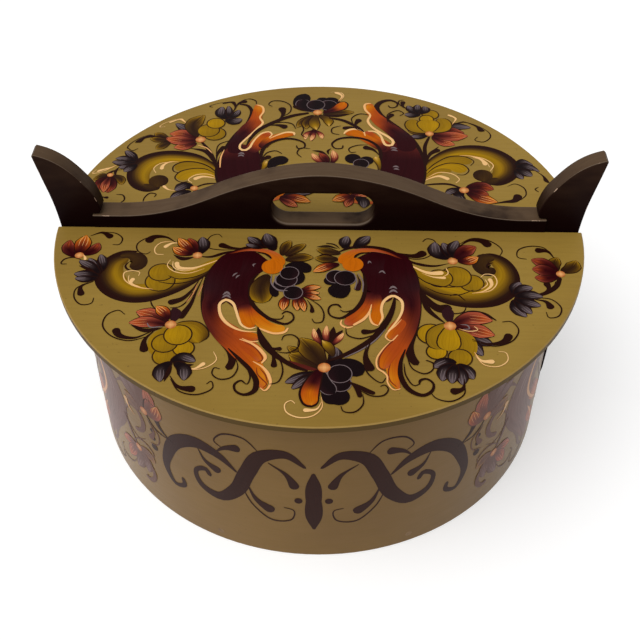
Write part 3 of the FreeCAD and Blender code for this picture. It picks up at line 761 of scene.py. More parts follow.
LEFT_QUARTER = [
    # olive C-scroll with its ochre lobes and cream lights
    ("own", 0, "ink", (60, 41, 0.3), (66.2, 49, 1), (73.6, 55.4, 1.4), (82, 60.6, 1.6), (90, 63.8, 1.8),
     (99, 64.4, 1.9), (109.6, 60.6, 2), (118, 51.6, 1.8), (119.8, 41, 1.6), (115.6, 30.6, 1.5),
     (108.4, 25.2, 1.2), (100.6, 24.6, 0.5)),
    ("own", 0, "c_scroll", (42, 23, 0.5), (50, 28.4, 2.4), (59, 36.2, 4.2), (68, 44.4, 5.4),
     (79, 51.8, 6.4), (90, 57, 6.3), (100, 57.4, 6.2), (108.6, 51.4, 6.8), (112.8, 42.4, 6.8),
     (111.4, 34, 5.4), (105.6, 29, 4)),
    ("own", 0, "bark", (110, 28.6, 1.8), (104, 28, 3), (99.6, 31.4, 5), (99.8, 36, 5), (103.4, 37.8, 2.6)),
    ("own", 0, "ink", (104.4, 33.6, 0.3), (105.8, 37, 0.6), (103.6, 40.2, 0.6), (100, 41.2, 0.3)),
    ("disc", 7.6, "ochre", (85, 49)),
    ("disc", 6.6, "ochre", (85.2, 41.8)),
    ("own", 0, "ochre", (56, 34, 0.5), (64, 40, 2.8), (72, 43.6, 3.8), (80, 44.4, 2.4)),
    ("hair", 0.4, "ink", (62, 45), (70, 49.4), (78, 51), (86, 49.6)),
    ("hair", 0.4, "ink", (60, 41), (68, 45.8), (76, 47), (81, 44.6)),
    ("tear", 1.3, "cream", (50, 27.6), (60, 34), (70, 38.4), (76.6, 37.4), (78, 33)),
    ("hair", 0.29, "cream", (62, 38.4), (71, 42.4), (79, 40.6), (82.8, 35.6), (81.6, 31.4)),
    ("hair", 0.29, "cream", (66, 38.6), (74, 40.4), (79.4, 37.2), (80, 32.6)),
    ("tear", 1.2, "cream", (75.6, 17.8), (82, 17), (86.6, 21)),
    ("hair", 0.3, "cream", (82, 15.6), (89, 17), (91.6, 22), (90, 26.6), (86, 27)),
    ("tear", 1.2, "cream", (88, 55.6), (96, 54), (100.8, 50.6), (99.6, 46.8)),
    ("hair", 0.32, "cream", (89, 55.4), (99, 53), (105, 47), (105.4, 42.4), (101, 40.8), (97, 42.4),
     (97.4, 45)),
    ("hair", 0.29, "cream", (95, 54), (102, 49.6), (102.6, 44.6)),
    # tendrils that leave the scroll's arch
    ("tear", 2.2, "ink", (38, 20.6), (49, 20.6), (56, 17.6)),
    ("hair", 0.4, "ink", (46, 22), (55, 22.4), (61.4, 20.6), (62.8, 15), (60.6, 10), (57, 8.8), (54.6, 11.6)),
    ("leaf", 1.1, "ink", (44, 22.4), (52, 25), (60, 28.6), (67, 28)),
    # flower by the bar
    ("petal", 3.6, "smoke", (66.4, 26.6), (64.6, 19.6), (66, 11.4)),
    ("petal", 3, "red", (68, 26), (70.4, 19), (73.6, 12.6)),
    ("petal", 3.2, "flame", (69, 25), (74, 19.6), (79.4, 12.6)),
    ("petal", 3.2, "flame", (69.6, 26.6), (76, 24.6), (81.6, 20.6)),
    ("leaf", 1.5, "ink", (68.6, 29), (75, 30.4), (80.6, 27)),
    ("disc", 2.7, "peach", (67, 27.4)),
    ("tear", 2.7, "ink", (80.4, 16.4), (87, 11.8), (94, 12.4), (96.6, 17)),
    ("hair", 0.42, "ink", (88, 11.6), (97.4, 13), (102, 18.6), (100.6, 24.4), (95.4, 26.6), (93.6, 24.8)),
    # bud near the post
    ("hair", 0.5, "ink", (130, 33), (135.6, 30.4), (140.8, 32.4), (141.6, 35.8), (138.4, 36)),
    ("petal", 3.6, "red", (134.4, 30), (139.8, 23.6), (140.6, 15.4)),
    ("petal", 3.2, "red", (131, 28), (126.4, 25), (123.6, 17.6)),
    ("petal", 4.6, "flame", (133.4, 29), (132.8, 20.6), (132, 11)),
    ("disc", 2.5, "peach", (132.8, 28.6)),
    ("leaf", 0.8, "cream", (130.6, 28), (129, 31.4), (129.8, 35)),
    ("tear", 2.2, "ink", (129.6, 11.6), (123.6, 8.6), (117, 13)),
    ("hair", 0.42, "ink", (122, 8), (115, 9.4), (111, 14), (112.4, 19), (115.8, 19)),
    # fan of blue-grey petals on the scroll's shoulder
    ("petal", 2.8, "smoke", (118, 42), (118.6, 35), (121, 27.6)),
    ("petal", 2.6, "smoke", (118, 43), (122.6, 37), (127, 31)),
    ("petal", 3, "smoke", (118.6, 44), (125, 37.6), (132, 33)),
    ("leaf", 1.2, "ink", (121, 43), (127, 39.4), (131.4, 37.4)),
    ("petal", 3.2, "smoke", (118.6, 46), (125.6, 44.6), (132.8, 44)),
    ("petal", 2.4, "smoke", (119, 47.4), (125.6, 48.2), (131.6, 47.6)),
    ("tear", 2.1, "ink", (121, 50), (127, 54), (125.6, 61.6)),
    ("hair", 0.42, "ink", (124, 51), (129.4, 56), (128.6, 64), (124, 68.4), (119, 67), (118.6, 63)),
    # cluster: red petals one way, ochre lobes the other
    ("tear", 2.1, "ink", (63.6, 46.6), (67.4, 57), (71.4, 62.8), (78.6, 66.4)),
    ("tear", 1.9, "ink", (62, 46), (64.4, 56.6), (66.4, 66.6), (71, 78)),
    ("hair", 0.4, "ink", (66.4, 57.6), (69, 65.4), (72.4, 69.2), (77, 70)),
    ("hair", 0.26, "blush_light", (60.2, 45.4), (61.6, 52), (63.2, 61)),
    ("hair", 0.26, "blush_light", (64.6, 51), (66.2, 59.4), (68.8, 65.6)),
    ("hair", 0.42, "ink", (84.6, 71), (86.8, 68), (88, 64.6)),
    ("petal", 3.2, "plum", (74.6, 81), (73.4, 75), (75.2, 69.4)),
    ("petal", 4.8, "rose", (76.6, 80.6), (85, 76), (94.4, 73)),
    ("petal", 3.4, "flame", (76.6, 79), (79.6, 73.6), (84.4, 68.8)),
    ("petal", 4, "rose", (77, 82.4), (87.6, 80.8), (97, 81.6)),
    ("leaf", 1.5, "ink", (78.6, 85), (88, 87), (95.6, 83.4)),
    ("hair", 0.45, "mist", (79, 84), (86, 84.2), (87.4, 81.6)),
    ("own", 0, "ochre", (77.4, 85, 0.8), (81, 92, 3.4), (81, 99, 3.6), (77, 105, 3)),
    ("disc", 5.8, "ochre", (75.2, 105)),
    ("disc", 5, "bright", (66.4, 99.4)),
    ("lobe", 6, "dusk", (73, 83), (63, 86), (58.8, 95.4)),
    ("disc", 6.2, "ochre", (76.4, 96)),
    ("disc", 6.8, "bright", (70.4, 90)),
    ("disc", 3, "peach", (75, 82.6)),
    ("tear", 2.2, "ink", (84.6, 88), (93, 92.6), (101, 90.4), (103.4, 85.6)),
    ("hair", 0.42, "ink", (85, 91), (95, 94.6), (105, 91), (110.4, 83), (108.6, 75), (103.6, 72.4),
     (100, 75.4)),
    ("tear", 2.4, "ink", (82.6, 86.6), (87, 94), (86, 102.6)),
    ("tear", 1.2, "cream", (64.4, 112.6), (60, 113.6), (54.4, 109.4)),
    ("hair", 0.3, "cream", (62, 114.6), (54, 112.6), (49, 107), (51, 101.6)),
    # blue bud at the foot of the cluster
    ("petal", 3, "smoke", (72, 109), (66, 105.6), (59.4, 108.6)),
    ("leaf", 1.3, "ink", (69, 111), (64, 111.4), (60, 110.6)),
    ("petal", 3.4, "smoke", (70, 109), (64.6, 114), (63.6, 121.4)),
    ("petal", 3.4, "smoke", (71, 109), (76, 114.6), (75.4, 122.6)),
    ("leaf", 1.3, "ink", (71, 110), (72, 116), (73.4, 122.4)),
    ("tear", 2.2, "ink", (71, 118.4), (66, 125.6), (57.4, 127.2)),
    ("hair", 0.42, "ink", (70.6, 120.4), (65, 128.6), (55, 130.2), (49, 125.4), (50.4, 121.6), (52.4, 123.6)),
    # maroon scroll: a hooked head, then two tails that part round a cream slit
    ("own", 0, "ink", (24, 20.6, 0.3), (32, 19.8, 1.2), (40, 20.6, 1.2), (48, 25, 1), (55, 33, 0.9),
     (59.4, 43, 1), (60.6, 54, 1), (60.2, 66, 1.1), (58, 76, 1.3), (53.4, 86, 1.5), (46.8, 95, 1.8),
     (42, 102, 2.2), (41.2, 108.6, 1.9), (43, 114, 2.1)),
    ("own", 0, "body", (36, 23, 2), (38, 28, 11.4), (39.6, 34, 12), (41.4, 40, 9.8), (42.6, 46, 8.6),
     (43, 52, 8.2), (42.6, 60, 7.6), (41, 63.4, 6), (38.8, 67, 5.2), (36.6, 71, 5.4), (35, 74, 2)),
    ("own", 0, "amber_lick", (36.6, 68, 3), (33, 73.4, 3.6), (29.6, 78.6, 3.4), (25.4, 82.6, 3.3),
     (20.4, 84.8, 3.3), (15.6, 84, 2)),
    ("own", 0, "orange_lick", (38.6, 66, 3), (37.2, 72, 3.4), (35.8, 78, 3.4), (34, 82, 2.8),
     (32.6, 84.6, 1.4)),
    ("own", 0, "tail", (42, 23, 2), (47.4, 31, 6.6), (50.4, 40, 8), (52.2, 50, 8.2), (52.8, 58, 7.6),
     (54, 62.8, 6.4), (55.9, 66.4, 4.6), (55.6, 71, 4.4), (54, 76.6, 4.7), (51, 82, 5.4), (47.4, 86.6, 6.4),
     (43.2, 91, 7.2), (39.4, 96, 6.6), (35.8, 101, 6.4), (32.4, 106, 5.4), (29.4, 111, 4), (26.6, 117, 3.4),
     (25, 122, 2.8), (24.4, 126.6, 1)),
    ("own", 0, "lick", (42, 86.4, 2.4), (36.6, 89.4, 2.8), (31, 91, 2.6), (28.6, 91.4, 1.6)),
    ("own", 0, "lick", (37.6, 94, 3), (32.4, 98.4, 4), (28.4, 103.4, 3.4), (27, 108, 1.8)),
    ("hair", 0.45, "brick", (36, 94.6), (31, 98), (27.6, 102.4), (26.2, 107), (28.4, 108.4)),
    ("hair", 0.42, "brick", (28.6, 112), (28, 116.4), (25.4, 120), (23, 123.4), (24.6, 125.6)),
    ("hair", 0.42, "brick", (27, 112.6), (24, 117), (22.6, 122)),
    ("own", 0, "light", (38.6, 92.6, 0.2), (32, 95.6, 0.6), (27, 100.6, 0.9), (24.6, 105.6, 0.8),
     (26.4, 109.4, 0.4)),
    ("own", 0, "light", (30.6, 108, 0.2), (25.4, 112, 0.6), (22, 118, 0.9), (21.2, 123.4, 0.6),
     (23.8, 127.4, 0.4), (26, 125.6, 0.2)),
    ("own", 0, "light", (37.4, 92, 0.2), (33, 94.2, 0.4), (28.8, 94, 0.4)),
    ("own", 0, "light", (29.8, 84, 0.3), (26.4, 86, 0.6), (20.6, 88.2, 0.7), (15.6, 86.8, 0.7),
     (14, 83.8, 0.4)),
    ("own", 0, "cream", (30, 87.2, 0.3), (38, 86.4, 0.5), (44, 83, 0.8), (48.6, 77.6, 0.9), (50.8, 71, 0.8),
     (50.8, 66, 0.8), (48, 63.4, 0.9), (44.4, 65.6, 0.8), (42.2, 71, 0.7), (40.4, 77, 0.7), (38, 82.6, 0.6),
     (34, 84.9, 0.5), (30.6, 83.6, 0.3)),
    ("leaf", 0.8, "mist", (45.8, 60), (48, 57.6), (50.2, 60)),
    ("leaf", 0.8, "mist", (45.4, 62.2), (48, 60), (50.4, 62.2)),
    ("leaf", 0.5, "mist", (43.4, 41.6), (45, 43), (46.2, 45)),
    ("leaf", 0.5, "mist", (42, 43.6), (43.2, 44.4), (44.2, 46.4)),
    ("leaf", 0.5, "mist", (34, 34), (35.4, 35), (35, 36.6)),
    # dark stem from the slit, and its teardrops
    ("own", 0, "ink", (29.8, 83.4, 0.3), (28.4, 89, 1.4), (25.6, 95.4, 2.2), (21.4, 101.4, 1.8),
     (15.6, 107, 1.4), (9, 111.6, 1.2), (3, 114, 0.5)),
    ("tear", 1.5, "ink", (25, 96.6), (20.6, 99), (16.6, 99)),
    ("tear", 1.7, "ink", (22.6, 99), (20.4, 106), (20, 112)),
    ("hair", 0.42, "ink", (19.6, 103), (16.4, 109), (15.6, 116), (18, 122), (21.6, 123.2)),
    ("hair", 0.45, "ink", (20, 101), (13, 101.6), (8.6, 98), (8.2, 92.6), (11.6, 89), (16, 89.8), (17, 93)),
    # curls beside the long tail
    ("own", 0, "ink", (44, 99, 0.3), (37.6, 106.6, 1.1), (31, 115, 1.3), (28, 122.6, 1.5), (29, 128, 1.3),
     (33.6, 130.2, 0.8), (38, 127.6, 0.6), (38.6, 123.4, 0.6), (35.6, 121, 0.5), (33.4, 123, 0.3)),
    ("hair", 0.42, "ink", (38.6, 106.6), (33, 113.4), (31.4, 120), (32.8, 123.4), (34.6, 121.8)),
    ("hair", 0.42, "ink", (39.4, 106), (38, 113), (41, 119.2), (46.6, 120.2), (50.4, 116.4), (49.4, 112.6),
     (46.8, 113.4)),
    # edge line and its curl inside the maroon scroll
    ("own", 0, "ink", (32, 42, 0.4), (35.8, 49, 0.8), (35.8, 58, 0.9), (33.6, 66.4, 1.2), (28.6, 73.4, 1.2),
     (21.6, 79, 1), (15, 81, 0.7), (11.6, 77.4, 0.5), (12.8, 73, 0.5), (16, 71.8, 0.5), (18, 74, 0.3)),
    ("hair", 0.42, "ink", (27, 74.4), (21.6, 77.6), (17.6, 77), (16.8, 74.6)),
    # fern lobe, blue-black lobes and orange fan under the hook
    ("lobe", 6, "fern", (27, 42.6), (30.2, 53), (28.4, 65.6)),
    ("lobe", 2.4, "coal", (24.6, 50), (23.4, 55), (21.6, 60.6)),
    ("petal", 2, "flame", (9, 56.4), (4, 53.4), (-2.2, 52.4)),
    ("petal", 1.6, "flame", (8, 57), (3, 57), (-1.6, 57.4)),
    ("petal", 2, "flame", (8, 58.6), (3, 60), (-2.4, 62)),
    ("petal", 2.6, "flame", (15, 59), (17, 64.6), (17.6, 71)),
    ("petal", 2.2, "flame", (11, 59), (10.4, 65), (9.8, 71)),
    ("petal", 2, "flame", (9, 59), (7.6, 65), (6, 71.6)),
    ("tear", 1.3, "ink", (5, 62.6), (2.4, 68), (2, 72.6)),
    ("hair", 0.42, "ink", (3.6, 62), (-2.4, 68), (-4.2, 75), (-3, 79.4), (0.6, 79.8), (2, 77)),
    ("lobe", 4, "coal", (18, 36), (11, 35), (3.8, 40)),
    ("disc", 6.4, "coal", (13, 45)),
    ("disc", 5.6, "soot", (17.8, 50.6)),
    ("disc", 5.6, "soot", (16.6, 47)),
    ("disc", 4.9, "soot", (15.2, 41.6)),
    ("disc", 4.9, "soot", (12.6, 57.2)),
    ("hair", 0.45, "mist", (24.8, 43), (24.6, 50), (21, 55), (15.6, 55.8)),
    ("hair", 0.42, "mist", (22.6, 43.6), (22.2, 49.6), (18.6, 52.4)),
    # orange hook over them
    *LEFT_HOOK,
    ("own", 0, "ink", (34, 24.4, 0.3), (29.6, 25.6, 0.6), (27, 27.8, 0.7), (25.6, 30, 0.4)),
]

RIGHT_PETALS = [
    ("petal", 3.2, "smoke", (16, 21), (14.8, 15.6), (16.4, 9.6)),
    ("petal", 3.4, "smoke", (20, 20), (24.4, 14.6), (29, 9.4)),
    ("hair", 0.45, "ink", (12, 20.4), (9, 17), (4.4, 16)),
    ("petal", 2.8, "fern", (12.6, 24.6), (5, 23), (-1, 21.4)),
    ("leaf", 0.8, "ink", (11, 20.6), (5, 18.4), (-1, 19.2)),
    ("petal", 3, "fern", (11.4, 29.6), (4, 29.4), (-1.8, 29)),
    ("leaf", 0.8, "ink", (8, 26.4), (3.4, 25.8), (-0.6, 28)),
    ("petal", 3, "flame", (12, 33.6), (5, 36), (-2.4, 40.4)),
]

LEFT_PETALS = [
    ("petal", 3, "smoke", (30, 20.4), (35, 16), (40, 11.4)),
    ("petal", 2, "smoke", (31, 21), (36, 19.4), (40.8, 17.8)),
    ("petal", 4.2, "smoke", (24.6, 23), (27.6, 15), (30, 8)),
    ("petal", 2.8, "fern", (20, 27), (18.4, 20), (15.6, 14)),
    ("petal", 2.6, "fern", (18, 27.6), (12.6, 21.6), (7, 17)),
    ("petal", 3.2, "fern", (18, 31), (10, 28.6), (2.4, 28.4)),
]

LEFT_BACK = [
    # olive C-scroll with its ochre lobes and cream lights
    ("own", 0, "ink", (60, 46, 0.3), (66, 57, 1.2), (75, 66, 1.6), (86, 70.2, 1.8), (98, 70.4, 2),
     (108, 66.6, 2), (114, 60, 2), (116.4, 51, 2), (115.4, 42, 1.8), (110.6, 34.4, 1.6), (103, 31.2, 1.2),
     (97, 33, 0.6)),
    ("own", 0, "c_scroll", (60, 46, 0.8), (67, 56, 3), (76, 62.4, 4.6), (87, 65, 5.2), (97, 65, 5.6),
     (106, 60.4, 6.2), (110.4, 51.6, 6.6), (109.4, 42.6, 5.8), (104.6, 36.6, 4.4), (98, 35, 3)),
    ("own", 0, "bark", (107, 36.6, 2), (101.4, 34.6, 3.4), (96.6, 36.6, 4.4)),
    ("disc", 6, "bark", (98, 41)),
    ("own", 0, "ochre", (60, 45, 1), (67, 52, 3.4), (75, 56, 4.4), (83, 56, 4.6), (90, 54.6, 4.2)),
    ("hair", 0.6, "ink", (62, 48), (70, 57), (78, 60.8), (86, 60.6), (90.8, 56), (90, 51), (86.6, 49.4)),
    ("own", 0, "bright", (60, 44, 1), (68, 49, 2.6), (76, 50.4, 3.4), (82.6, 47.4, 4.8), (86, 42.6, 4.4)),
    ("hair", 0.5, "ink", (64, 49), (72, 54), (80, 53.6), (86.6, 50), (88.4, 44), (84, 40), (80, 41)),
    ("tear", 1.3, "cream", (88, 60.8), (94, 60.4), (97.4, 56.6), (97.8, 52.6)),
    ("hair", 0.3, "cream", (92, 60.6), (99.6, 58.6), (102.6, 53.6), (100.6, 49)),
    ("tear", 1.4, "cream", (60, 42.4), (66, 45), (72, 45.8), (77, 43)),
    ("hair", 0.35, "cream", (62, 45), (70, 48.6), (77, 46.8), (80, 42), (77.6, 39.6)),
    ("tear", 1, "cream", (86, 31.4), (91, 32.6), (94.6, 36.4)),
    # fan of blue-grey petals on the scroll's shoulder, with its cream curl
    ("petal", 2.8, "smoke", (114, 60), (117.4, 66), (123, 72.4)),
    ("petal", 2.6, "smoke", (114, 60.6), (120.4, 63.4), (128, 64)),
    ("petal", 3, "smoke", (114, 59), (121.6, 58.8), (129.4, 60.4)),
    ("petal", 2.6, "smoke", (114, 58), (120, 55), (124.6, 54.6)),
    ("petal", 3, "smoke", (113.6, 58), (117, 53.6), (120.6, 50)),
    ("tear", 1.4, "cream", (126, 56.6), (131, 53), (137, 53.4)),
    ("hair", 0.32, "cream", (128, 54.4), (134, 50.4), (139.4, 53.4), (137.6, 56.4)),
    # bud near the post
    ("tear", 1.6, "ink", (122, 52), (127, 50.6), (130.4, 45.6)),
    ("leaf", 1, "ink", (124, 55), (125.6, 50), (124.6, 44.6)),
    ("petal", 3, "fern", (128, 45.6), (132.6, 45), (137.6, 41.6)),
    ("petal", 2.6, "fern", (127, 46), (121.6, 43), (119.6, 36.6)),
    ("petal", 3, "red", (128.6, 45), (133, 39), (132, 31.6)),
    ("petal", 3.4, "red", (127.4, 45), (126, 37), (127, 28.6)),
    ("petal", 2.8, "rose", (128, 45), (129.6, 37), (129.4, 29)),
    ("disc", 1.9, "peach", (128.2, 46.4)),
    ("tear", 1.3, "ink", (131, 25.6), (128, 24.2), (125.4, 24)),
    ("hair", 0.5, "ink", (121.4, 27.2), (117.4, 26.6), (115.8, 22), (118, 18.6)),
    ("hair", 0.5, "ink", (104.4, 19), (104, 24.6), (101, 28.8), (97.6, 27.6), (98.4, 25)),
    # flower by the bar
    ("hair", 0.7, "ink", (76, 34), (70, 38), (62, 39.4)),
    ("petal", 3.6, "smoke", (76, 34), (81, 36.4), (87, 31.6)),
    ("petal", 3, "smoke", (77, 31), (83.4, 28.6), (88.6, 23.4)),
    ("petal", 3.4, "flame", (75, 32), (73, 25), (76, 18)),
    ("petal", 3.2, "red", (74, 32), (68, 27), (64, 21)),
    ("disc", 2.4, "peach", (75.6, 34)),
    # stems to the cluster
    ("own", 0, "ink", (62.6, 50, 0.6), (66.6, 63, 1.3), (71, 74, 1.2), (76.6, 83, 0.7)),
    ("leaf", 1.7, "ink", (65, 58), (73, 72.4), (83, 75.4)),
    ("tear", 2, "ink", (64.6, 60), (64.8, 70), (60.8, 78)),
    ("hair", 0.45, "ink", (66, 70), (64.6, 80), (58, 84.6)),
    ("hair", 0.4, "light", (68, 70), (72.6, 76), (78, 78.6)),
    # cluster: red petals one way, ochre lobes the other
    ("petal", 3, "fern", (97, 85), (103, 88.6), (107, 92)),
    ("petal", 3, "fern", (97, 84), (103.6, 84.6), (109.4, 85.4)),
    ("petal", 3, "fern", (96, 82), (100.6, 77.6), (104.4, 74.4)),
    ("petal", 3.6, "smoke", (79, 88), (87, 96), (95, 103)),
    ("petal", 5, "rose", (79, 86), (88, 90.6), (97.6, 91)),
    ("petal", 4.2, "rose", (79, 81), (86, 77.8), (93, 75.6)),
    ("petal", 4.8, "rose", (79, 84), (89, 83.6), (99.4, 86)),
    ("tear", 2.4, "ink", (98, 85.6), (107, 88), (114, 86.4), (117, 81)),
    ("hair", 0.45, "ink", (104, 88), (114, 89.6), (121, 82.6), (121.8, 75.4), (118.6, 72), (115.4, 74.4)),
    ("tear", 1.5, "cream", (88, 103), (93.6, 108), (99.6, 106)),
    ("hair", 0.35, "cream", (87, 101.4), (94, 109.8), (103.4, 106), (104.6, 100.6), (101.4, 98.6)),
    ("petal", 5.4, "fern", (80, 88), (83.6, 101), (77.4, 113)),
    ("disc", 6.6, "ochre", (68.6, 91.4)),
    ("disc", 6.6, "ochre", (73, 95)),
    ("disc", 5.4, "bright", (69, 103.4)),
    ("disc", 3.2, "peach", (77, 84.8)),
    # blue bud at the foot of the cluster
    ("petal", 2, "smoke", (61.6, 109), (61.4, 116), (62.6, 124)),
    ("petal", 2.4, "smoke", (61, 109), (57, 114), (55, 119.4)),
    ("petal", 3.4, "smoke", (62, 108.6), (66.8, 114), (66.6, 123)),
    ("petal", 3.6, "smoke", (63.4, 108), (58, 105.8), (52.4, 108.6)),
    ("tear", 2.2, "ink", (59.6, 115), (58, 124), (61.6, 130), (67, 129.8)),
    ("tear", 1.8, "ink", (58, 121), (55.4, 128), (50.6, 130)),
    ("hair", 0.45, "ink", (61, 130.6), (69, 132.6), (75, 128), (73, 123)),
    ("hair", 0.45, "ink", (55, 130), (50, 133), (45, 130.6), (44.2, 126)),
    # maroon scroll: a hooked head, then two tails that part round a cream slit
    ("own", 0, "ink", (50, 22, 0.5), (60, 36, 1.2), (63.6, 50, 1.3), (62, 66, 1.3), (58.4, 82, 1.3),
     (54, 93, 1.4), (49.4, 101, 1.5), (47, 110, 1.5), (47, 119, 1.2), (50.4, 125, 1), (56, 126.4, 0.5)),
    ("own", 0, "body", (34, 24, 3), (42, 33, 12), (48, 45, 14), (50, 57, 13.4), (50, 68, 11.6),
     (50, 75, 9.6), (50, 80, 6)),
    ("own", 0, "tail", (53, 70, 5), (54.6, 78, 4.6), (54, 84, 3.8), (51, 91, 4.6), (47, 98, 5.6),
     (44, 105, 4.6), (43.2, 112, 3.6), (42.6, 119, 3.4), (43.6, 126, 1.6)),
    ("own", 0, "red_lick", (45, 71, 4), (42, 78, 4.8), (38.6, 85, 4.8), (35, 91.6, 3.4), (33.4, 93.6, 1.6)),
    ("own", 0, "orange_lick", (38, 76, 3), (34, 84, 3.6), (28, 89, 3), (22, 91.6, 2.6), (17.6, 92, 1.4)),
    ("own", 0, "cream", (44.6, 125.8, 0.3), (40.6, 124, 0.7), (39, 117.6, 0.7), (41, 110.6, 0.6),
     (38.6, 104.6, 0.8), (42, 97.6, 0.7), (46, 90, 0.7), (49.6, 83.6, 0.7), (51.6, 79, 0.7),
     (50.8, 74.6, 0.8), (48.4, 73.4, 0.9), (45.6, 76, 0.8), (44, 81.4, 0.7), (41.6, 87.6, 0.6),
     (38, 92.8, 0.7), (34, 94.2, 0.6), (32, 91.6, 0.5), (33.8, 87.4, 0.4)),
    ("own", 0, "cream", (33.4, 86.6, 0.3), (28, 91, 0.6), (22, 94, 0.8), (18, 93.2, 0.8), (17.6, 90.4, 0.4)),
    ("own", 0, "ink", (47.6, 78, 0.4), (45, 88, 1), (41, 96, 1.4), (35, 102.4, 1.5), (28, 108, 1.5),
     (19, 113.4, 1.4), (9, 116.6, 0.9)),
    ("tear", 2.8, "ink", (29, 107), (26, 115), (27.4, 123)),
    ("tear", 2.6, "ink", (35, 101.6), (28.6, 102), (22.6, 99.4)),
    ("hair", 0.45, "ink", (27, 111), (21.4, 118), (22, 126), (28, 130.6), (34.4, 130), (36, 126),
     (33.6, 124)),
    ("hair", 0.45, "ink", (32, 104), (26, 105.4), (19.6, 103.6), (17, 98)),
    ("own", 0, "ink", (36, 60, 0.4), (37.6, 69, 1.1), (35.6, 77.6, 1.2), (30, 84, 1.1), (23, 86.8, 1),
     (15.6, 85.6, 0.8), (10.8, 81.4, 0.6), (11.2, 77, 0.5), (15, 76.4, 0.5), (16, 79.6, 0.4)),
    ("hair", 0.45, "ink", (37, 64), (33.6, 71.6), (28.6, 73.4), (24.6, 70.4)),
    ("hair", 0.45, "ink", (7, 76), (13, 76.6), (15.2, 71), (12.4, 66.8)),
    ("tear", 2, "ink", (38, 57), (36, 64), (31.4, 67.6)),
    ("tear", 2.2, "straw", (38, 46), (35.6, 54), (33.6, 62)),
    ("lobe", 4.6, "coal", (32, 54), (28, 62), (20.4, 64.6)),
    ("hair", 0.5, "light", (61, 74), (62.4, 66), (62, 55)),
    ("leaf", 0.8, "mist", (47.8, 69), (50, 70.6), (52.2, 69)),
    ("leaf", 0.8, "mist", (48, 66.8), (50, 68.2), (52, 66.8)),
    # lobes and hook by the bar
    ("disc", 6.4, "coal", (13, 45)),
    ("disc", 5.6, "soot", (20, 50)),
    ("disc", 5.4, "soot", (15.4, 41.6)),
    *LEFT_HOOK,
    ("petal", 2.4, "smoke", (22, 28), (14, 29.4), (4, 31)),
    ("petal", 3.6, "flame", (24, 26), (14.6, 25.4), (5.4, 21.6)),
    ("petal", 2.8, "rose", (24, 25), (18, 20.6), (13, 17)),
    ("leaf", 0.7, "light", (21, 30), (25.4, 28.6), (27.2, 23.4)),
]

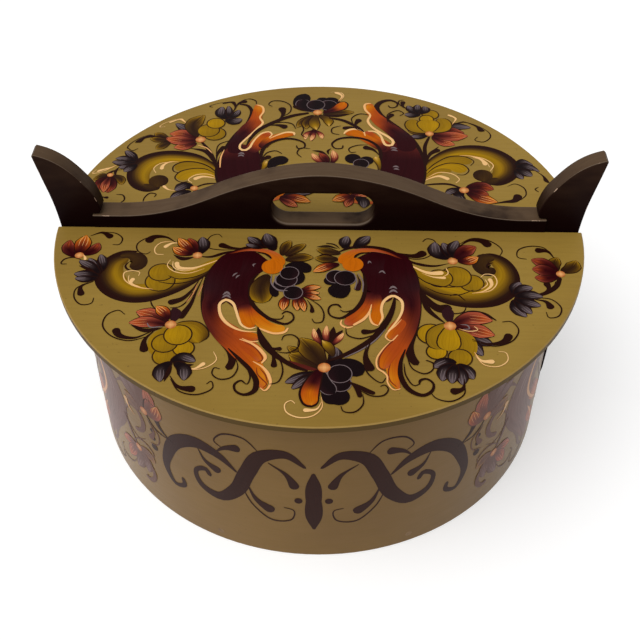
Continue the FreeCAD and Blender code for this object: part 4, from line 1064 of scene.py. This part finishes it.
RIGHT_BACK = [
    # olive C-scroll with its ochre lobes and cream lights
    ("own", 0, "ink", (60, 46, 0.3), (63.6, 58, 1), (71, 69, 1.5), (81, 76.8, 1.8), (93, 80, 2),
     (105, 78.2, 2), (114, 72, 2), (119.4, 63, 2), (119.4, 53.6, 1.9), (114.4, 45.6, 1.7), (107, 41.4, 1.5),
     (99, 42.6, 0.8)),
    ("own", 0, "c_scroll", (60, 46, 0.8), (67, 61, 3), (76, 69.6, 4.6), (87, 74.4, 5.4), (98, 74.2, 6),
     (107, 69.6, 7), (112.4, 61.4, 7.4), (111.4, 53, 6.6), (106.6, 47.4, 5), (100, 45.8, 3.2)),
    ("own", 0, "bark", (108, 46.6, 2.2), (102, 44, 3.6), (97.4, 45.6, 4.4)),
    ("disc", 6, "bark", (98.6, 50)),
    ("own", 0, "ochre", (61, 47, 1), (69, 59, 3.6), (78, 65.4, 4.4), (86, 66.2, 4.4), (93, 63.6, 3.4)),
    ("hair", 0.5, "ink", (63, 52), (71, 62.6), (81, 69.6), (90, 69), (94.4, 64.4), (92, 60)),
    ("own", 0, "bright", (61, 45, 1), (69, 54.6, 3), (77, 59.6, 3.8), (84, 58, 5), (88, 53.4, 4.4)),
    ("hair", 0.5, "ink", (63, 49), (71, 58.6), (80, 62.6), (88, 60.4), (90.6, 55), (87, 50.4), (83, 50.6)),
    ("own", 0, "ochre", (60, 43.6, 0.8), (67, 50, 2), (74, 54.6, 2.4), (80, 54.4, 1.6)),
    ("tear", 1.4, "cream", (86, 70.8), (94, 69.8), (100, 65.4), (101.4, 60.4)),
    ("hair", 0.35, "cream", (92, 70.6), (101.4, 67), (106, 60.4), (103.6, 54.6)),
    ("hair", 0.3, "cream", (94, 69), (102, 64), (103.6, 58.6)),
    ("tear", 1.4, "cream", (60, 41.4), (66, 46.4), (72, 48.8), (78, 45.6)),
    ("hair", 0.35, "cream", (64, 46.6), (73, 52.8), (81, 50.6), (84, 45.4), (81.6, 42)),
    # fan of blue-grey petals on the scroll's shoulder
    ("petal", 2.6, "smoke", (119, 61), (125, 64.8), (130.6, 63.2)),
    ("petal", 2.4, "smoke", (119, 56.6), (120, 51.6), (122.6, 46.6)),
    ("petal", 3.4, "smoke", (119, 57.6), (124.4, 53.6), (128.6, 49.8)),
    ("petal", 3.6, "smoke", (119, 59), (126.6, 59.8), (133.6, 56.4)),
    ("tear", 1.8, "ink", (129, 57), (135, 52.4), (136.8, 44.6)),
    ("hair", 0.45, "ink", (112.4, 39.4), (117, 41.8), (122, 38), (122.4, 31), (118.6, 26)),
    ("hair", 0.45, "ink", (131, 39), (128.6, 36.6), (130.4, 34)),
    # flower by the bar
    ("own", 0, "ink", (60, 39, 0.4), (69, 40.8, 0.8), (78, 40.6, 0.9), (85, 36.6, 0.6)),
    ("hair", 0.5, "ink", (63, 37.4), (69.6, 35), (75, 30.6)),
    ("petal", 2.8, "smoke", (85, 36), (80, 34.6), (74.6, 31)),
    ("petal", 3.4, "smoke", (85, 34.4), (82.4, 29), (84.6, 22)),
    ("petal", 4.6, "red", (87, 36.4), (95, 38.8), (104, 36.2)),
    ("petal", 4.4, "flame", (87, 34), (94.6, 27.8), (105, 23.2)),
    ("petal", 3, "red", (87, 35), (94.6, 33.4), (100.4, 30.4)),
    ("disc", 2.9, "peach", (86, 35)),
    ("tear", 2.8, "ink", (101, 22), (109, 24), (115, 25.4), (118.4, 31.4)),
    # stems to the cluster
    ("own", 0, "ink", (62.4, 52, 0.6), (64.6, 68, 1.2), (65, 80, 1.2), (68.4, 91, 0.7)),
    ("tear", 2, "ink", (65, 62), (68.6, 72.4), (74, 77)),
    ("hair", 0.45, "ink", (65, 60), (67, 72), (73.6, 79.8)),
    # cluster: red petals one way, ochre lobes the other
    ("petal", 3.6, "smoke", (74, 97), (85, 102.6), (95.6, 101.4)),
    ("petal", 2.8, "smoke", (68, 93), (62, 91), (56, 90.6)),
    ("petal", 2.6, "fern", (67, 94), (60, 95.8), (54.6, 99.6)),
    ("petal", 4.4, "red", (70, 93.4), (80, 97), (91, 95)),
    ("petal", 4, "rose", (70, 91), (76.6, 85), (84, 81.8)),
    ("petal", 5.2, "rose", (70, 92), (82, 91.4), (93, 92)),
    ("tear", 2.4, "ink", (83, 104), (92, 108), (100, 104.4), (102.6, 97)),
    ("hair", 0.45, "ink", (86, 106.6), (98, 107.6), (106, 100), (106.8, 90), (101.6, 85.4), (97, 87.6),
     (99, 91)),
    ("tear", 1.6, "cream", (84, 105), (86.6, 112), (82, 117)),
    ("disc", 5, "ochre", (70.4, 116)),
    ("lobe", 4.6, "ochre", (69, 96), (58.8, 101), (58.6, 110.4)),
    ("lobe", 4.6, "ochre", (70, 96), (78.6, 102), (76.6, 112)),
    ("disc", 4.2, "bright", (67.6, 110.6)),
    ("lobe", 7, "bright", (68.4, 95), (68.4, 102), (68.4, 110)),
    ("disc", 2.7, "peach", (68.6, 94)),
    # blue bud at the foot of the cluster
    ("petal", 3, "smoke", (64, 116), (58.4, 115.6), (53.4, 116)),
    ("petal", 2.6, "smoke", (62, 117), (58, 121.6), (56, 126.6)),
    ("petal", 2.6, "smoke", (62.4, 117), (62, 122), (63, 128)),
    ("petal", 2.8, "smoke", (63, 117), (67.4, 121), (67.4, 127)),
    ("tear", 1.8, "ink", (58, 121), (52.8, 125.6), (53.2, 132)),
    ("hair", 0.45, "ink", (53.4, 123.6), (50, 130), (53.6, 137)),
    # maroon scroll: a hooked head, then two tails that part round a cream slit
    ("own", 0, "ink", (50, 20, 0.5), (60, 36, 1.2), (63, 50, 1.3), (63, 66, 1.3), (60.6, 79, 1.4),
     (56, 90, 1.5), (49, 100, 1.6), (42, 109, 1.6), (37, 117, 1.8), (35.4, 125, 1.9), (39, 131, 1.6),
     (45, 132.8, 1), (49.4, 129, 0.7), (48, 124.6, 0.5), (44.4, 124, 0.5), (43, 127, 0.4)),
    ("own", 0, "body", (32, 22, 3), (41, 32, 12), (47, 44, 14), (49.6, 57, 13.8), (49.4, 68, 12.6),
     (48.6, 77, 11), (48.6, 84, 8)),
    ("own", 0, "tail", (52, 74, 6), (53.4, 82, 6.2), (51, 89, 6), (47, 95, 5.4), (42.4, 101, 5),
     (37.8, 107.4, 5), (34, 114, 4), (31.4, 121, 3.4), (31, 128.6, 1.8)),
    ("own", 0, "red_lick", (43, 74, 5), (38.4, 81, 5), (33.6, 87, 4), (30, 93, 3.6), (30, 96.6, 1.4)),
    ("own", 0, "orange_lick", (40, 75, 3), (34, 82, 3.8), (27, 89, 3.6), (20.6, 94, 3.6), (14.8, 92.6, 2)),
    ("own", 0, "cream", (32, 128.8, 0.3), (28.4, 128, 0.7), (27.8, 121.4, 0.8), (31, 114.6, 0.7),
     (29.4, 108, 0.8), (31.6, 101.6, 0.8), (37.4, 94.6, 0.9), (42.6, 89.4, 0.9), (45.2, 84.6, 0.9),
     (43.8, 80.6, 0.9), (40.6, 80.8, 0.9), (38.8, 85, 0.8), (37.4, 91, 0.7), (33.6, 95.8, 0.7),
     (29, 96.2, 0.5)),
    ("own", 0, "cream", (27.6, 90.4, 0.3), (26, 96.4, 0.6), (20.4, 98.4, 0.8), (15.6, 96, 0.8),
     (13.8, 92.6, 0.4)),
    ("tear", 1.8, "ink", (46, 103), (42.4, 110), (46, 116.6)),
    ("hair", 0.45, "ink", (42, 106), (43, 116.4), (50, 120.4), (53, 117), (50.4, 114.4)),
    ("own", 0, "ink", (36, 60, 0.4), (37, 70, 1.2), (35.4, 79, 1.1), (28, 86.6, 1.1), (18, 89, 1),
     (9.6, 86.4, 0.8), (6.4, 81, 0.6), (8.8, 76.6, 0.5), (13, 77.2, 0.5), (13.4, 80.4, 0.4)),
    ("tear", 2.2, "ink", (36.6, 69), (32, 76), (26, 78.6)),
    ("hair", 0.45, "ink", (29, 81), (21.6, 80), (17, 76), (18.4, 72.6), (21.6, 73)),
    ("tear", 2.2, "straw", (35, 48), (36, 58), (33.6, 68)),
    ("disc", 5, "coal", (19.6, 66)),
    ("disc", 4.4, "coal", (28, 64)),
    ("disc", 4.6, "soot", (24.6, 60.6)),
    ("leaf", 0.8, "mist", (43, 77.4), (45.4, 78), (47.6, 76.6)),
    ("leaf", 0.8, "mist", (43.4, 75.2), (45.6, 75.6), (47.8, 74.4)),
    ("leaf", 0.8, "mist", (44, 57.4), (46, 58.2), (48, 57)),
    ("leaf", 0.8, "mist", (44.4, 55.2), (46.2, 55.6), (48, 54.6)),
    # stem from the slit to the middle flower
    ("own", 0, "ink", (27, 95, 0.4), (24, 99, 1), (19, 104, 1.3), (12.6, 108.6, 1.2), (4, 111, 0.8)),
    ("tear", 2.2, "ink", (22, 98), (21.4, 104), (24.4, 110)),
    ("tear", 1.8, "ink", (25, 96), (19, 100.4), (13, 99)),
    ("hair", 0.45, "ink", (20, 103), (19, 111), (24, 116), (30.4, 115)),
    ("hair", 0.45, "ink", (12, 102), (6.4, 99), (6.6, 93.6), (11, 92)),
    # lobes and hook by the bar
    ("disc", 5, "coal", (10, 46)),
    ("disc", 5.6, "soot", (16, 48)),
    ("own", 0, "hook", (47, 29, 0.4), (38, 23.6, 0.9), (30, 21.6, 1.4), (23.6, 22.4, 2), (18.4, 25.2, 3),
     (15.4, 30.4, 4.2), (16, 34.6, 4.8)),
    ("disc", 5.8, "hook_eye", (19.4, 34.8)),
    ("petal", 2.4, "rose", (18, 27.6), (23, 30), (28, 27.4)),
    ("petal", 3.6, "flame", (21, 27.4), (14, 26.4), (7.4, 23)),
    ("petal", 2.6, "rose", (20, 26), (17, 21.6), (15.4, 17.4)),
    ("petal", 3.4, "smoke", (21, 27), (25.6, 23), (26, 16.6)),
]

MIDDLE_FLOWER = [
    # blue-grey and fern petals towards the tulip and the left tail
    ("petal", 3, "smoke", (3, 115), (-5, 117.6), (-14, 122)),
    ("petal", 2.6, "smoke", (3, 115), (-4, 119.6), (-10.6, 126)),
    ("petal", 3.4, "fern", (2, 111.4), (-6.4, 103.4), (-14, 97)),
    ("petal", 5.2, "fern", (3, 112), (-5, 107), (-13, 102.6)),
    ("leaf", 1.6, "wine", (3, 113.6), (-6, 111), (-13, 107)),
    ("petal", 6, "fern", (5, 111), (-1, 100.6), (-8, 91)),
    ("hair", 0.45, "ink", (8.6, 98.6), (10.8, 98), (12.8, 102), (12.6, 106)),
    ("petal", 3.4, "smoke", (7, 110), (10.4, 104), (10.6, 97.4)),
    # tulip
    ("petal", 1.9, "ink", (6, 96), (2, 90), (1.6, 83.4)),
    ("petal", 1.9, "ink", (7, 96), (8.6, 89), (9.4, 82.6)),
    ("petal", 1.9, "ink", (8, 96), (11.4, 89.4), (14, 85)),
    ("petal", 1.8, "blush", (5.6, 97), (0.4, 91), (-1, 84)),
    ("petal", 1.9, "blush", (6.6, 97), (5.4, 89), (5.8, 81.8)),
    ("petal", 1.8, "blush", (7.6, 97), (12, 91.6), (14.6, 87)),
    ("petal", 2.6, "straw", (9.4, 104), (7.4, 98), (3.6, 92.6)),
    # blue-black lobes, each with its light ring
    ("lobe", 5.4, "coal", (7, 113), (17, 110), (24, 116)),
    ("disc", 5.4, "coal", (12.4, 130.6)),
    ("lobe", 4.2, "coal", (5, 122), (8, 130), (10, 135.4)),
    ("disc", 5.3, "soot", (13, 121.8)),
    ("lobe", 3.8, "soot", (4.4, 114), (5.6, 122.6), (10, 129)),
    ("disc", 5.8, "soot", (12.8, 115.6)),
    # long orange petal and its cream curl
    ("own", 0, "ink", (3, 113, 2), (0, 121, 4.2), (-2, 129, 5.2), (-0.6, 137.6, 3.6)),
    ("own", 0, "long_petal", (3, 113, 1.4), (0, 121, 3.4), (-1.8, 129, 4.2), (-0.6, 136.4, 3)),
    ("tear", 1.2, "cream", (4.2, 134), (2, 138.6), (-4.6, 139.6)),
    ("hair", 0.36, "cream", (4, 131), (4.4, 137.6), (0, 143), (-7, 144), (-13, 140), (-13, 135),
     (-10.4, 133.6), (-8.6, 135.4)),
    ("disc", 3.2, "peach", (5, 111.6)),
]


MIDDLE_BACK = [
    # blue-black lobes, each with its light ring
    ("lobe", 5.6, "coal", (-5, 118), (-14.4, 126), (-12, 140)),
    ("lobe", 5.2, "coal", (0, 120), (6.4, 126), (3.4, 135.6)),
    ("lobe", 4.4, "coal", (-1, 122), (0, 130), (-2.6, 135)),
    ("lobe", 4.6, "soot", (-5, 119), (-13, 124.6), (-13, 133)),
    ("disc", 5.6, "soot", (3.6, 126)),
    ("disc", 5.7, "soot", (-4.8, 126.4)),
    ("tear", 1.6, "ink", (-7, 118), (-14, 120), (-19.6, 125)),
    # long orange petal and its cream curl
    ("petal", 3, "fern", (0, 115), (10, 117.4), (20.6, 118)),
    ("leaf", 1.5, "ink", (0, 113.6), (9, 113.6), (19, 116.4)),
    ("own", 0, "ink", (0, 117, 1.4), (7, 120.4, 3), (12, 125, 4.4), (14.6, 130.6, 2.8)),
    ("own", 0, "long_petal", (0, 117, 1), (7, 120.6, 2.2), (12, 125, 3.6), (14, 130, 2)),
    ("tear", 1.4, "cream", (10, 131), (12.4, 137.6), (7.6, 142.6)),
    ("hair", 0.34, "cream", (11, 131), (13.6, 138.4), (8, 144), (4.6, 142.6)),
    # fern petals and the tulip, towards the bar
    ("petal", 2.6, "fern", (-6, 114), (-12.6, 107), (-16.4, 99.6)),
    ("petal", 3, "fern", (-5.6, 114), (-10, 106), (-10.4, 98)),
    ("petal", 3, "straw", (-2.6, 114), (3.4, 108.6), (4.4, 101.4)),
    ("petal", 3.6, "straw", (-4.4, 114), (-5.4, 105), (-3.6, 97)),
    ("petal", 2, "ink", (-6, 98), (-6, 92), (-6.4, 84.6)),
    ("petal", 2, "blush", (-5, 97), (-10, 92), (-10.6, 86)),
    ("petal", 2, "blush", (-5, 97), (-5.6, 91), (-7, 84.6)),
    ("petal", 2, "blush", (-5, 97), (-1, 92), (0.4, 87)),
    ("hair", 0.45, "ink", (-14, 104), (-12, 97), (-13, 91), (-10, 88)),
    ("disc", 3, "peach", (-3.4, 117.2)),
    # pink and orange fan by the bar's crown
    ("petal", 2.6, "blush", (3, 59), (-2.6, 65), (-6, 71)),
    ("petal", 2.4, "red", (4, 59), (2.4, 66), (-1.4, 71.6)),
    ("petal", 2.6, "blush", (6, 59), (8.2, 66.4), (7, 74.6)),
    ("leaf", 1, "ink", (-6, 74), (-0.6, 73), (4, 69)),
    ("leaf", 0.8, "ink", (4.4, 70), (4, 74), (6, 76.6)),
    ("petal", 2.4, "flame", (6, 57), (12, 54), (16, 55)),
    ("disc", 2.2, "peach", (4.6, 58)),
]


def new_sheet():
    """An empty sheet of paint that can hold each point's colour and run."""
    sheet = bmesh.new()
    sheet.loops.layers.uv.new("run")
    sheet.verts.layers.float_color.new("paint")
    return sheet


def hang(sheet, name, body):
    """Give the strokes their thin film, and put the piece on its body."""
    drawn = bmesh.ops.extrude_face_region(sheet, geom=sheet.faces[:], use_keep_orig=True)
    under = [part for part in drawn["geom"] if isinstance(part, bmesh.types.BMVert)]
    if body == "lid":
        bmesh.ops.translate(sheet, vec=(0, 0, -FILM / 1000), verts=under)
    else:
        inward = 1 - FILM / BAND_FACE
        bmesh.ops.scale(sheet, vec=(inward, inward, 1), verts=under)
    bmesh.ops.recalc_face_normals(sheet, faces=sheet.faces[:])
    mesh = bpy.data.meshes.new(name)
    sheet.to_mesh(mesh)
    sheet.free()
    mesh.materials.append(painting_finishes[body])
    piece = bpy.data.objects.new(name, mesh)
    scene.collection.objects.link(piece)
    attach(piece, body)


# past this reach from the lid's middle, paint at the back is drawn in by this share
RIM_REACH = 142
DRAWN_IN = 0.7


def on_lid(side, end):
    """Places a stroke on one quarter of the lid; side is 1 at the right, end 1 at the back."""
    def place(x, v, height):
        if end > 0:
            v -= max(math.hypot(x, v) - RIM_REACH, 0) * DRAWN_IN
        return Vector((side * x, end * v, LID_TOP + height)) / 1000
    return place


# the middle flowers start this many coats up, over the first strokes beside them
MIDDLE_COAT = 90

for name, side, end, coat, strokes in (
    ("front_left", -1, -1, 0, LEFT_QUARTER + LEFT_PETALS),
    ("front_right", 1, -1, 0, RIGHT_QUARTER + RIGHT_SCROLL + RIGHT_PETALS),
    ("front_middle", 1, -1, MIDDLE_COAT, MIDDLE_FLOWER),
    ("back_left", -1, 1, 0, LEFT_BACK),
    ("back_right", 1, 1, 0, RIGHT_BACK),
    ("back_middle", 1, 1, MIDDLE_COAT, MIDDLE_BACK),
):
    sheet = new_sheet()
    paint_all(sheet, on_lid(side, end), strokes, coat)
    hang(sheet, name + "_lid_painting", "lid")


# Rosemaling on the band: a maroon scroll on each side of each post, with two
# flowers before it. Between them a plain dark scroll runs round the front.
BAND_TOP = edge_of("side_band", axis=2)


def on_band(middle, side, stretch=1.0):
    """Places a stroke on the band; middle is the bearing of its middle line in degrees.

    Its points are how far they are round the band from there, then how far below the top.
    """
    def place(x, v, height):
        bearing = math.radians(middle) + side * x * stretch / BAND_FACE
        reach = BAND_FACE + height
        spot = (reach * math.cos(bearing), reach * math.sin(bearing), BAND_TOP - v)
        return Vector(spot) / 1000
    return place


BAND_SCROLL = [
    ("own", 0, "ink", (20, 36, 0.4), (34, 24, 1.2), (52, 18.6, 1.5), (72, 20, 1.6), (88, 30, 1.8),
     (96, 44, 1.8), (97.6, 56, 1.7), (92, 70, 1.7), (83, 82, 1.6), (77, 92, 1.6), (72, 104, 1.4),
     (64, 112, 0.8)),
    ("own", 0, "orange_lick", (70, 56, 6), (60, 68, 6.4), (50, 77, 5.4), (40, 82, 3)),
    ("own", 0, "body", (30, 29, 3), (44, 25, 5), (60, 30, 10), (74, 38, 14), (82, 50, 14.6), (80, 64, 13),
     (73, 77, 11.4), (68, 88, 9), (64, 99, 6), (60, 109, 2)),
    ("own", 0, "lick", (64, 84, 4), (56, 94, 5), (50, 103, 3), (46, 108, 1)),
    ("own", 0, "light", (50, 83, 0.4), (60, 74, 0.8), (68, 65, 1), (74, 54, 1.4), (74, 42, 1.5),
     (69, 34, 0.9), (62, 38, 0.4)),
    ("own", 0, "light", (50, 104, 0.3), (54, 95, 0.7), (61, 84, 0.7), (66, 77, 0.3)),
    ("hair", 0.5, "mist", (80, 33), (85.4, 40), (87, 48)),
    ("hair", 0.4, "mist", (78, 36), (82.4, 43), (83.6, 50)),
    ("disc", 5.4, "coal", (27, 48)),
    ("disc", 5.6, "soot", (34, 51)),
    ("lobe", 5.6, "coal", (33, 54), (29, 62), (24, 69)),
    ("petal", 3.4, "fern", (46, 46), (44, 56), (37, 64)),
    ("own", 0, "ink", (60, 46, 0.4), (54, 58, 1.3), (44, 69, 1.3), (34, 75, 0.9), (26, 72, 0.6),
     (27, 67, 0.4)),
    ("own", 0, "hook", (66, 26, 0.5), (54, 22, 1.5), (42, 22.6, 2.6), (33, 26.4, 4.4), (29, 33.6, 5.4)),
    ("disc", 7, "hook_eye", (34, 35.6)),
    ("own", 0, "ink", (50, 25, 0.3), (42, 26, 0.7), (36.4, 29.4, 0.5)),
    ("petal", 3.4, "smoke", (30, 20), (26, 13), (27, 5)),
    ("petal", 3.4, "fern", (26, 22), (19, 17), (14, 9)),
    ("petal", 3, "fern", (24, 27), (16, 25), (9, 20)),
    ("hair", 0.5, "ink", (68, 98), (66, 108), (74, 115), (82, 112), (81, 106)),
]

BAND_FLOWERS = [
    # flower on the scroll's shoulder, with its curls
    ("own", 0, "ink", (93, 34, 0.4), (100, 28, 1.2), (110, 31, 1.2), (117, 37, 0.8)),
    ("own", 0, "ink", (100, 51, 0.5), (104, 43.6, 1), (111, 43, 1.4), (115, 50, 1.8), (112.6, 59, 1.7),
     (106, 63, 1.6)),
    ("hair", 0.45, "ink", (102, 45), (98, 56), (101, 66), (108, 69.6), (114, 66)),
    ("petal", 4.4, "smoke", (116, 37), (108, 29), (98, 24)),
    ("petal", 4, "smoke", (117, 36), (112, 26), (105, 17.6)),
    ("lobe", 4, "coal", (117.6, 36), (118.6, 28), (114, 17)),
    ("petal", 4.4, "rose", (119, 37), (123.6, 28), (122, 17)),
    ("petal", 4, "flame", (119.4, 39), (126.6, 36), (130, 27)),
    ("petal", 4, "fern", (116, 39), (108.6, 39), (101, 35)),
    ("disc", 2.8, "peach", (118, 38.6)),
    ("tear", 1.8, "cream", (108, 50), (103.4, 47), (100.6, 40)),
    ("tear", 2, "ink", (120, 44), (123.6, 52), (119.6, 60)),
    ("hair", 0.42, "ink", (122, 45), (127, 52), (125, 62), (119, 64.6)),
    # lower flower
    ("own", 0, "ink", (95.6, 58, 0.5), (99.6, 68, 1.1), (104, 78, 0.9)),
    ("hair", 0.5, "ink", (102, 77), (107, 71), (115, 70), (120, 75), (118, 80)),
    ("petal", 3.8, "rose", (104, 80), (96.6, 82), (88.6, 86)),
    ("petal", 4, "rose", (104.6, 81), (98.6, 88), (93, 98)),
    ("petal", 3.8, "fern", (107, 79), (113.6, 78.4), (120, 83)),
    ("petal", 4, "smoke", (107, 81), (112, 87), (112, 97)),
    ("petal", 4, "smoke", (105.6, 82), (105.6, 91), (101, 101)),
    ("disc", 2.8, "peach", (105.6, 80)),
    ("own", 0, "ink", (110, 84, 0.5), (116.4, 90, 1.2), (117, 98, 1.6), (112, 104, 1.7), (108, 103.4, 1.2)),
    ("hair", 0.45, "ink", (100, 96), (94, 104), (86, 106), (81, 101), (84, 97)),
    # flowers over and under the scroll
    ("petal", 3.6, "smoke", (72, 17), (66, 13), (63, 5)),
    ("petal", 3.6, "red", (74, 17), (74, 10), (72, 3)),
    ("petal", 3.6, "flame", (76, 17), (82, 12), (84, 5)),
    ("disc", 2.4, "peach", (74, 17.6)),
    ("tear", 2, "ink", (80, 19), (90, 15), (98, 9)),
    ("lobe", 4, "ochre", (40, 74), (32, 80), (30, 92)),
    ("lobe", 4, "bright", (41, 74), (40, 84), (40, 95)),
    ("petal", 3.6, "rose", (39, 72), (31, 70), (23, 72)),
    ("disc", 2.6, "peach", (40, 73.6)),
]

# painted reflection: the band's painting is drawn this far towards one pale red, a haze that stands for glare
# on its varnish
PAINTED_GLARE_TINT = Vector(tone(150, 104, 90))
PAINTED_GLARE_SHARE = 0.4

for post, middle, turn in (("left", 180, -1), ("right", 0, 1)):
    for half, side in (("front", -1), ("back", 1)):
        sheet = new_sheet()
        paint_all(sheet, on_band(middle, turn * side), BAND_SCROLL + BAND_FLOWERS)
        # painted reflection: every colour laid on the band is hazed towards the glare tint
        laid = sheet.verts.layers.float_color["paint"]
        for vert in sheet.verts:
            vert[laid] = vert[laid].lerp(PAINTED_GLARE_TINT, PAINTED_GLARE_SHARE)
        hang(sheet, half + "_" + post + "_band_painting", "box")

RUNNING_SCROLL = [
    ("own", 0, "umber", (0, 96, 0.6), (-1.6, 84, 3.4), (0, 70, 4.6), (1.2, 58, 3.4), (0, 46, 0.8)),
    ("own", 0, "umber", (4, 42, 0.8), (16, 32, 3), (30, 36, 4.6), (39, 52, 5), (47, 70, 4.8), (59, 80, 3.4),
     (71, 75, 2.2), (73, 64, 1.6), (66, 60, 1.9), (63, 65, 1.4)),
    ("own", 0, "umber", (45, 54, 0.5), (56, 44, 2.8), (71, 40, 4.4), (85, 47, 4.8), (94, 62, 4),
     (97, 78, 2.4), (91, 88, 1.6), (84, 84, 1.8), (85, 78, 1.2)),
    ("tear", 3.6, "umber", (40, 60), (34, 74), (24, 82)),
    ("tear", 3.2, "umber", (26, 40), (16, 48), (10, 60)),
    ("tear", 3.2, "umber", (70, 44), (66, 52), (56, 58)),
    ("tear", 3, "umber", (60, 44), (52, 36), (42, 33)),
    ("tear", 2.8, "umber", (88, 52), (98, 44), (102, 34)),
    ("hair", 0.6, "umber", (44, 62), (36, 80), (24, 90), (13, 87), (12, 79), (18, 77)),
    ("hair", 0.6, "umber", (30, 34), (40, 24), (54, 26), (58, 33), (54, 36)),
    ("hair", 0.6, "umber", (88, 50), (102, 48), (110, 36), (106, 26), (100, 28)),
    ("disc", 2.6, "umber", (106, 66)),
    ("disc", 2, "umber", (106, 58)),
    ("disc", 1.5, "umber", (106, 51.6)),
    ("disc", 2.4, "umber", (9, 70)),
]

# the band's front is at this bearing, and its scroll is drawn at this share of its length
FRONT = -90
SHORTENED = 0.9

sheet = new_sheet()
for side, coat in ((-1, 30), (1, 1)):
    paint_all(sheet, on_band(FRONT, side, SHORTENED), RUNNING_SCROLL, coat)
hang(sheet, "running_scroll", "box")


# Studio: a plain pale floor in a white surround, lit all round and by one wide
# soft sun from the front left. The camera looks down at the box from the front.
def seen_directly(tree):
    """1 on rays from the camera, and on those that a mirror or glass passes on."""
    rays = put(tree, "LightPath")
    seen = sum_of(tree, "MAXIMUM", rays.outputs["Is Camera Ray"], rays.outputs["Is Glossy Ray"])
    return sum_of(tree, "MAXIMUM", seen, rays.outputs["Is Transmission Ray"])


floor_mesh = bpy.data.meshes.new("floor")
sheet = bmesh.new()
bmesh.ops.create_grid(sheet, x_segments=1, y_segments=1, size=6.0)
sheet.to_mesh(floor_mesh)
sheet.free()
floor = bpy.data.objects.new("floor", floor_mesh)
scene.collection.objects.link(floor)
floor_paper = bpy.data.materials.new("floor_paper")
floor_paper.use_nodes = True
floor_mesh.materials.append(floor_paper)
paper = floor_paper.node_tree.nodes["Principled BSDF"]
paper.inputs["Base Color"].default_value = (0.64, 0.64, 0.64, 1)
paper.inputs["Roughness"].default_value = 0.9
paper.inputs["Specular IOR Level"].default_value = 0.1
tree = floor_paper.node_tree
glow = sum_of(tree, "MULTIPLY", seen_directly(tree), 0.46)
paper.inputs["Emission Color"].default_value = (1, 1, 1, 1)
tree.links.new(glow, paper.inputs["Emission Strength"])

world = bpy.data.worlds.new("studio")
scene.world = world
world.use_nodes = True
tree = world.node_tree
sky = tree.nodes["Background"]
sky.inputs["Color"].default_value = (1, 1, 1, 1)
# the sky shows as plain white, 1, and lights the box at 0.45
sky_strength = sum_of(tree, "MULTIPLY_ADD", seen_directly(tree), 0.55, 0.45)
tree.links.new(sky_strength, sky.inputs["Strength"])

lamp = bpy.data.lights.new("key_sun", "SUN")
lamp.energy = 1.95
lamp.angle = math.radians(50)
holder = bpy.data.objects.new("key_sun", lamp)
sunbeam = Vector((0.40, 0.28, -0.87))
holder.rotation_euler = sunbeam.to_track_quat("-Z", "Y").to_euler()
scene.collection.objects.link(holder)

camera_data = bpy.data.cameras.new("camera")
camera_data.lens = 57.359
camera_data.sensor_width = 36.0
camera_data.clip_start = 0.01
camera = bpy.data.objects.new("camera", camera_data)
camera.location = (0.010944, -0.456999, 0.4963)
camera.rotation_euler = [math.radians(turn) for turn in (45.6776, 0.1209, 1.1997)]
scene.collection.objects.link(camera)
scene.camera = camera
scene.view_settings.view_transform = "Standard"
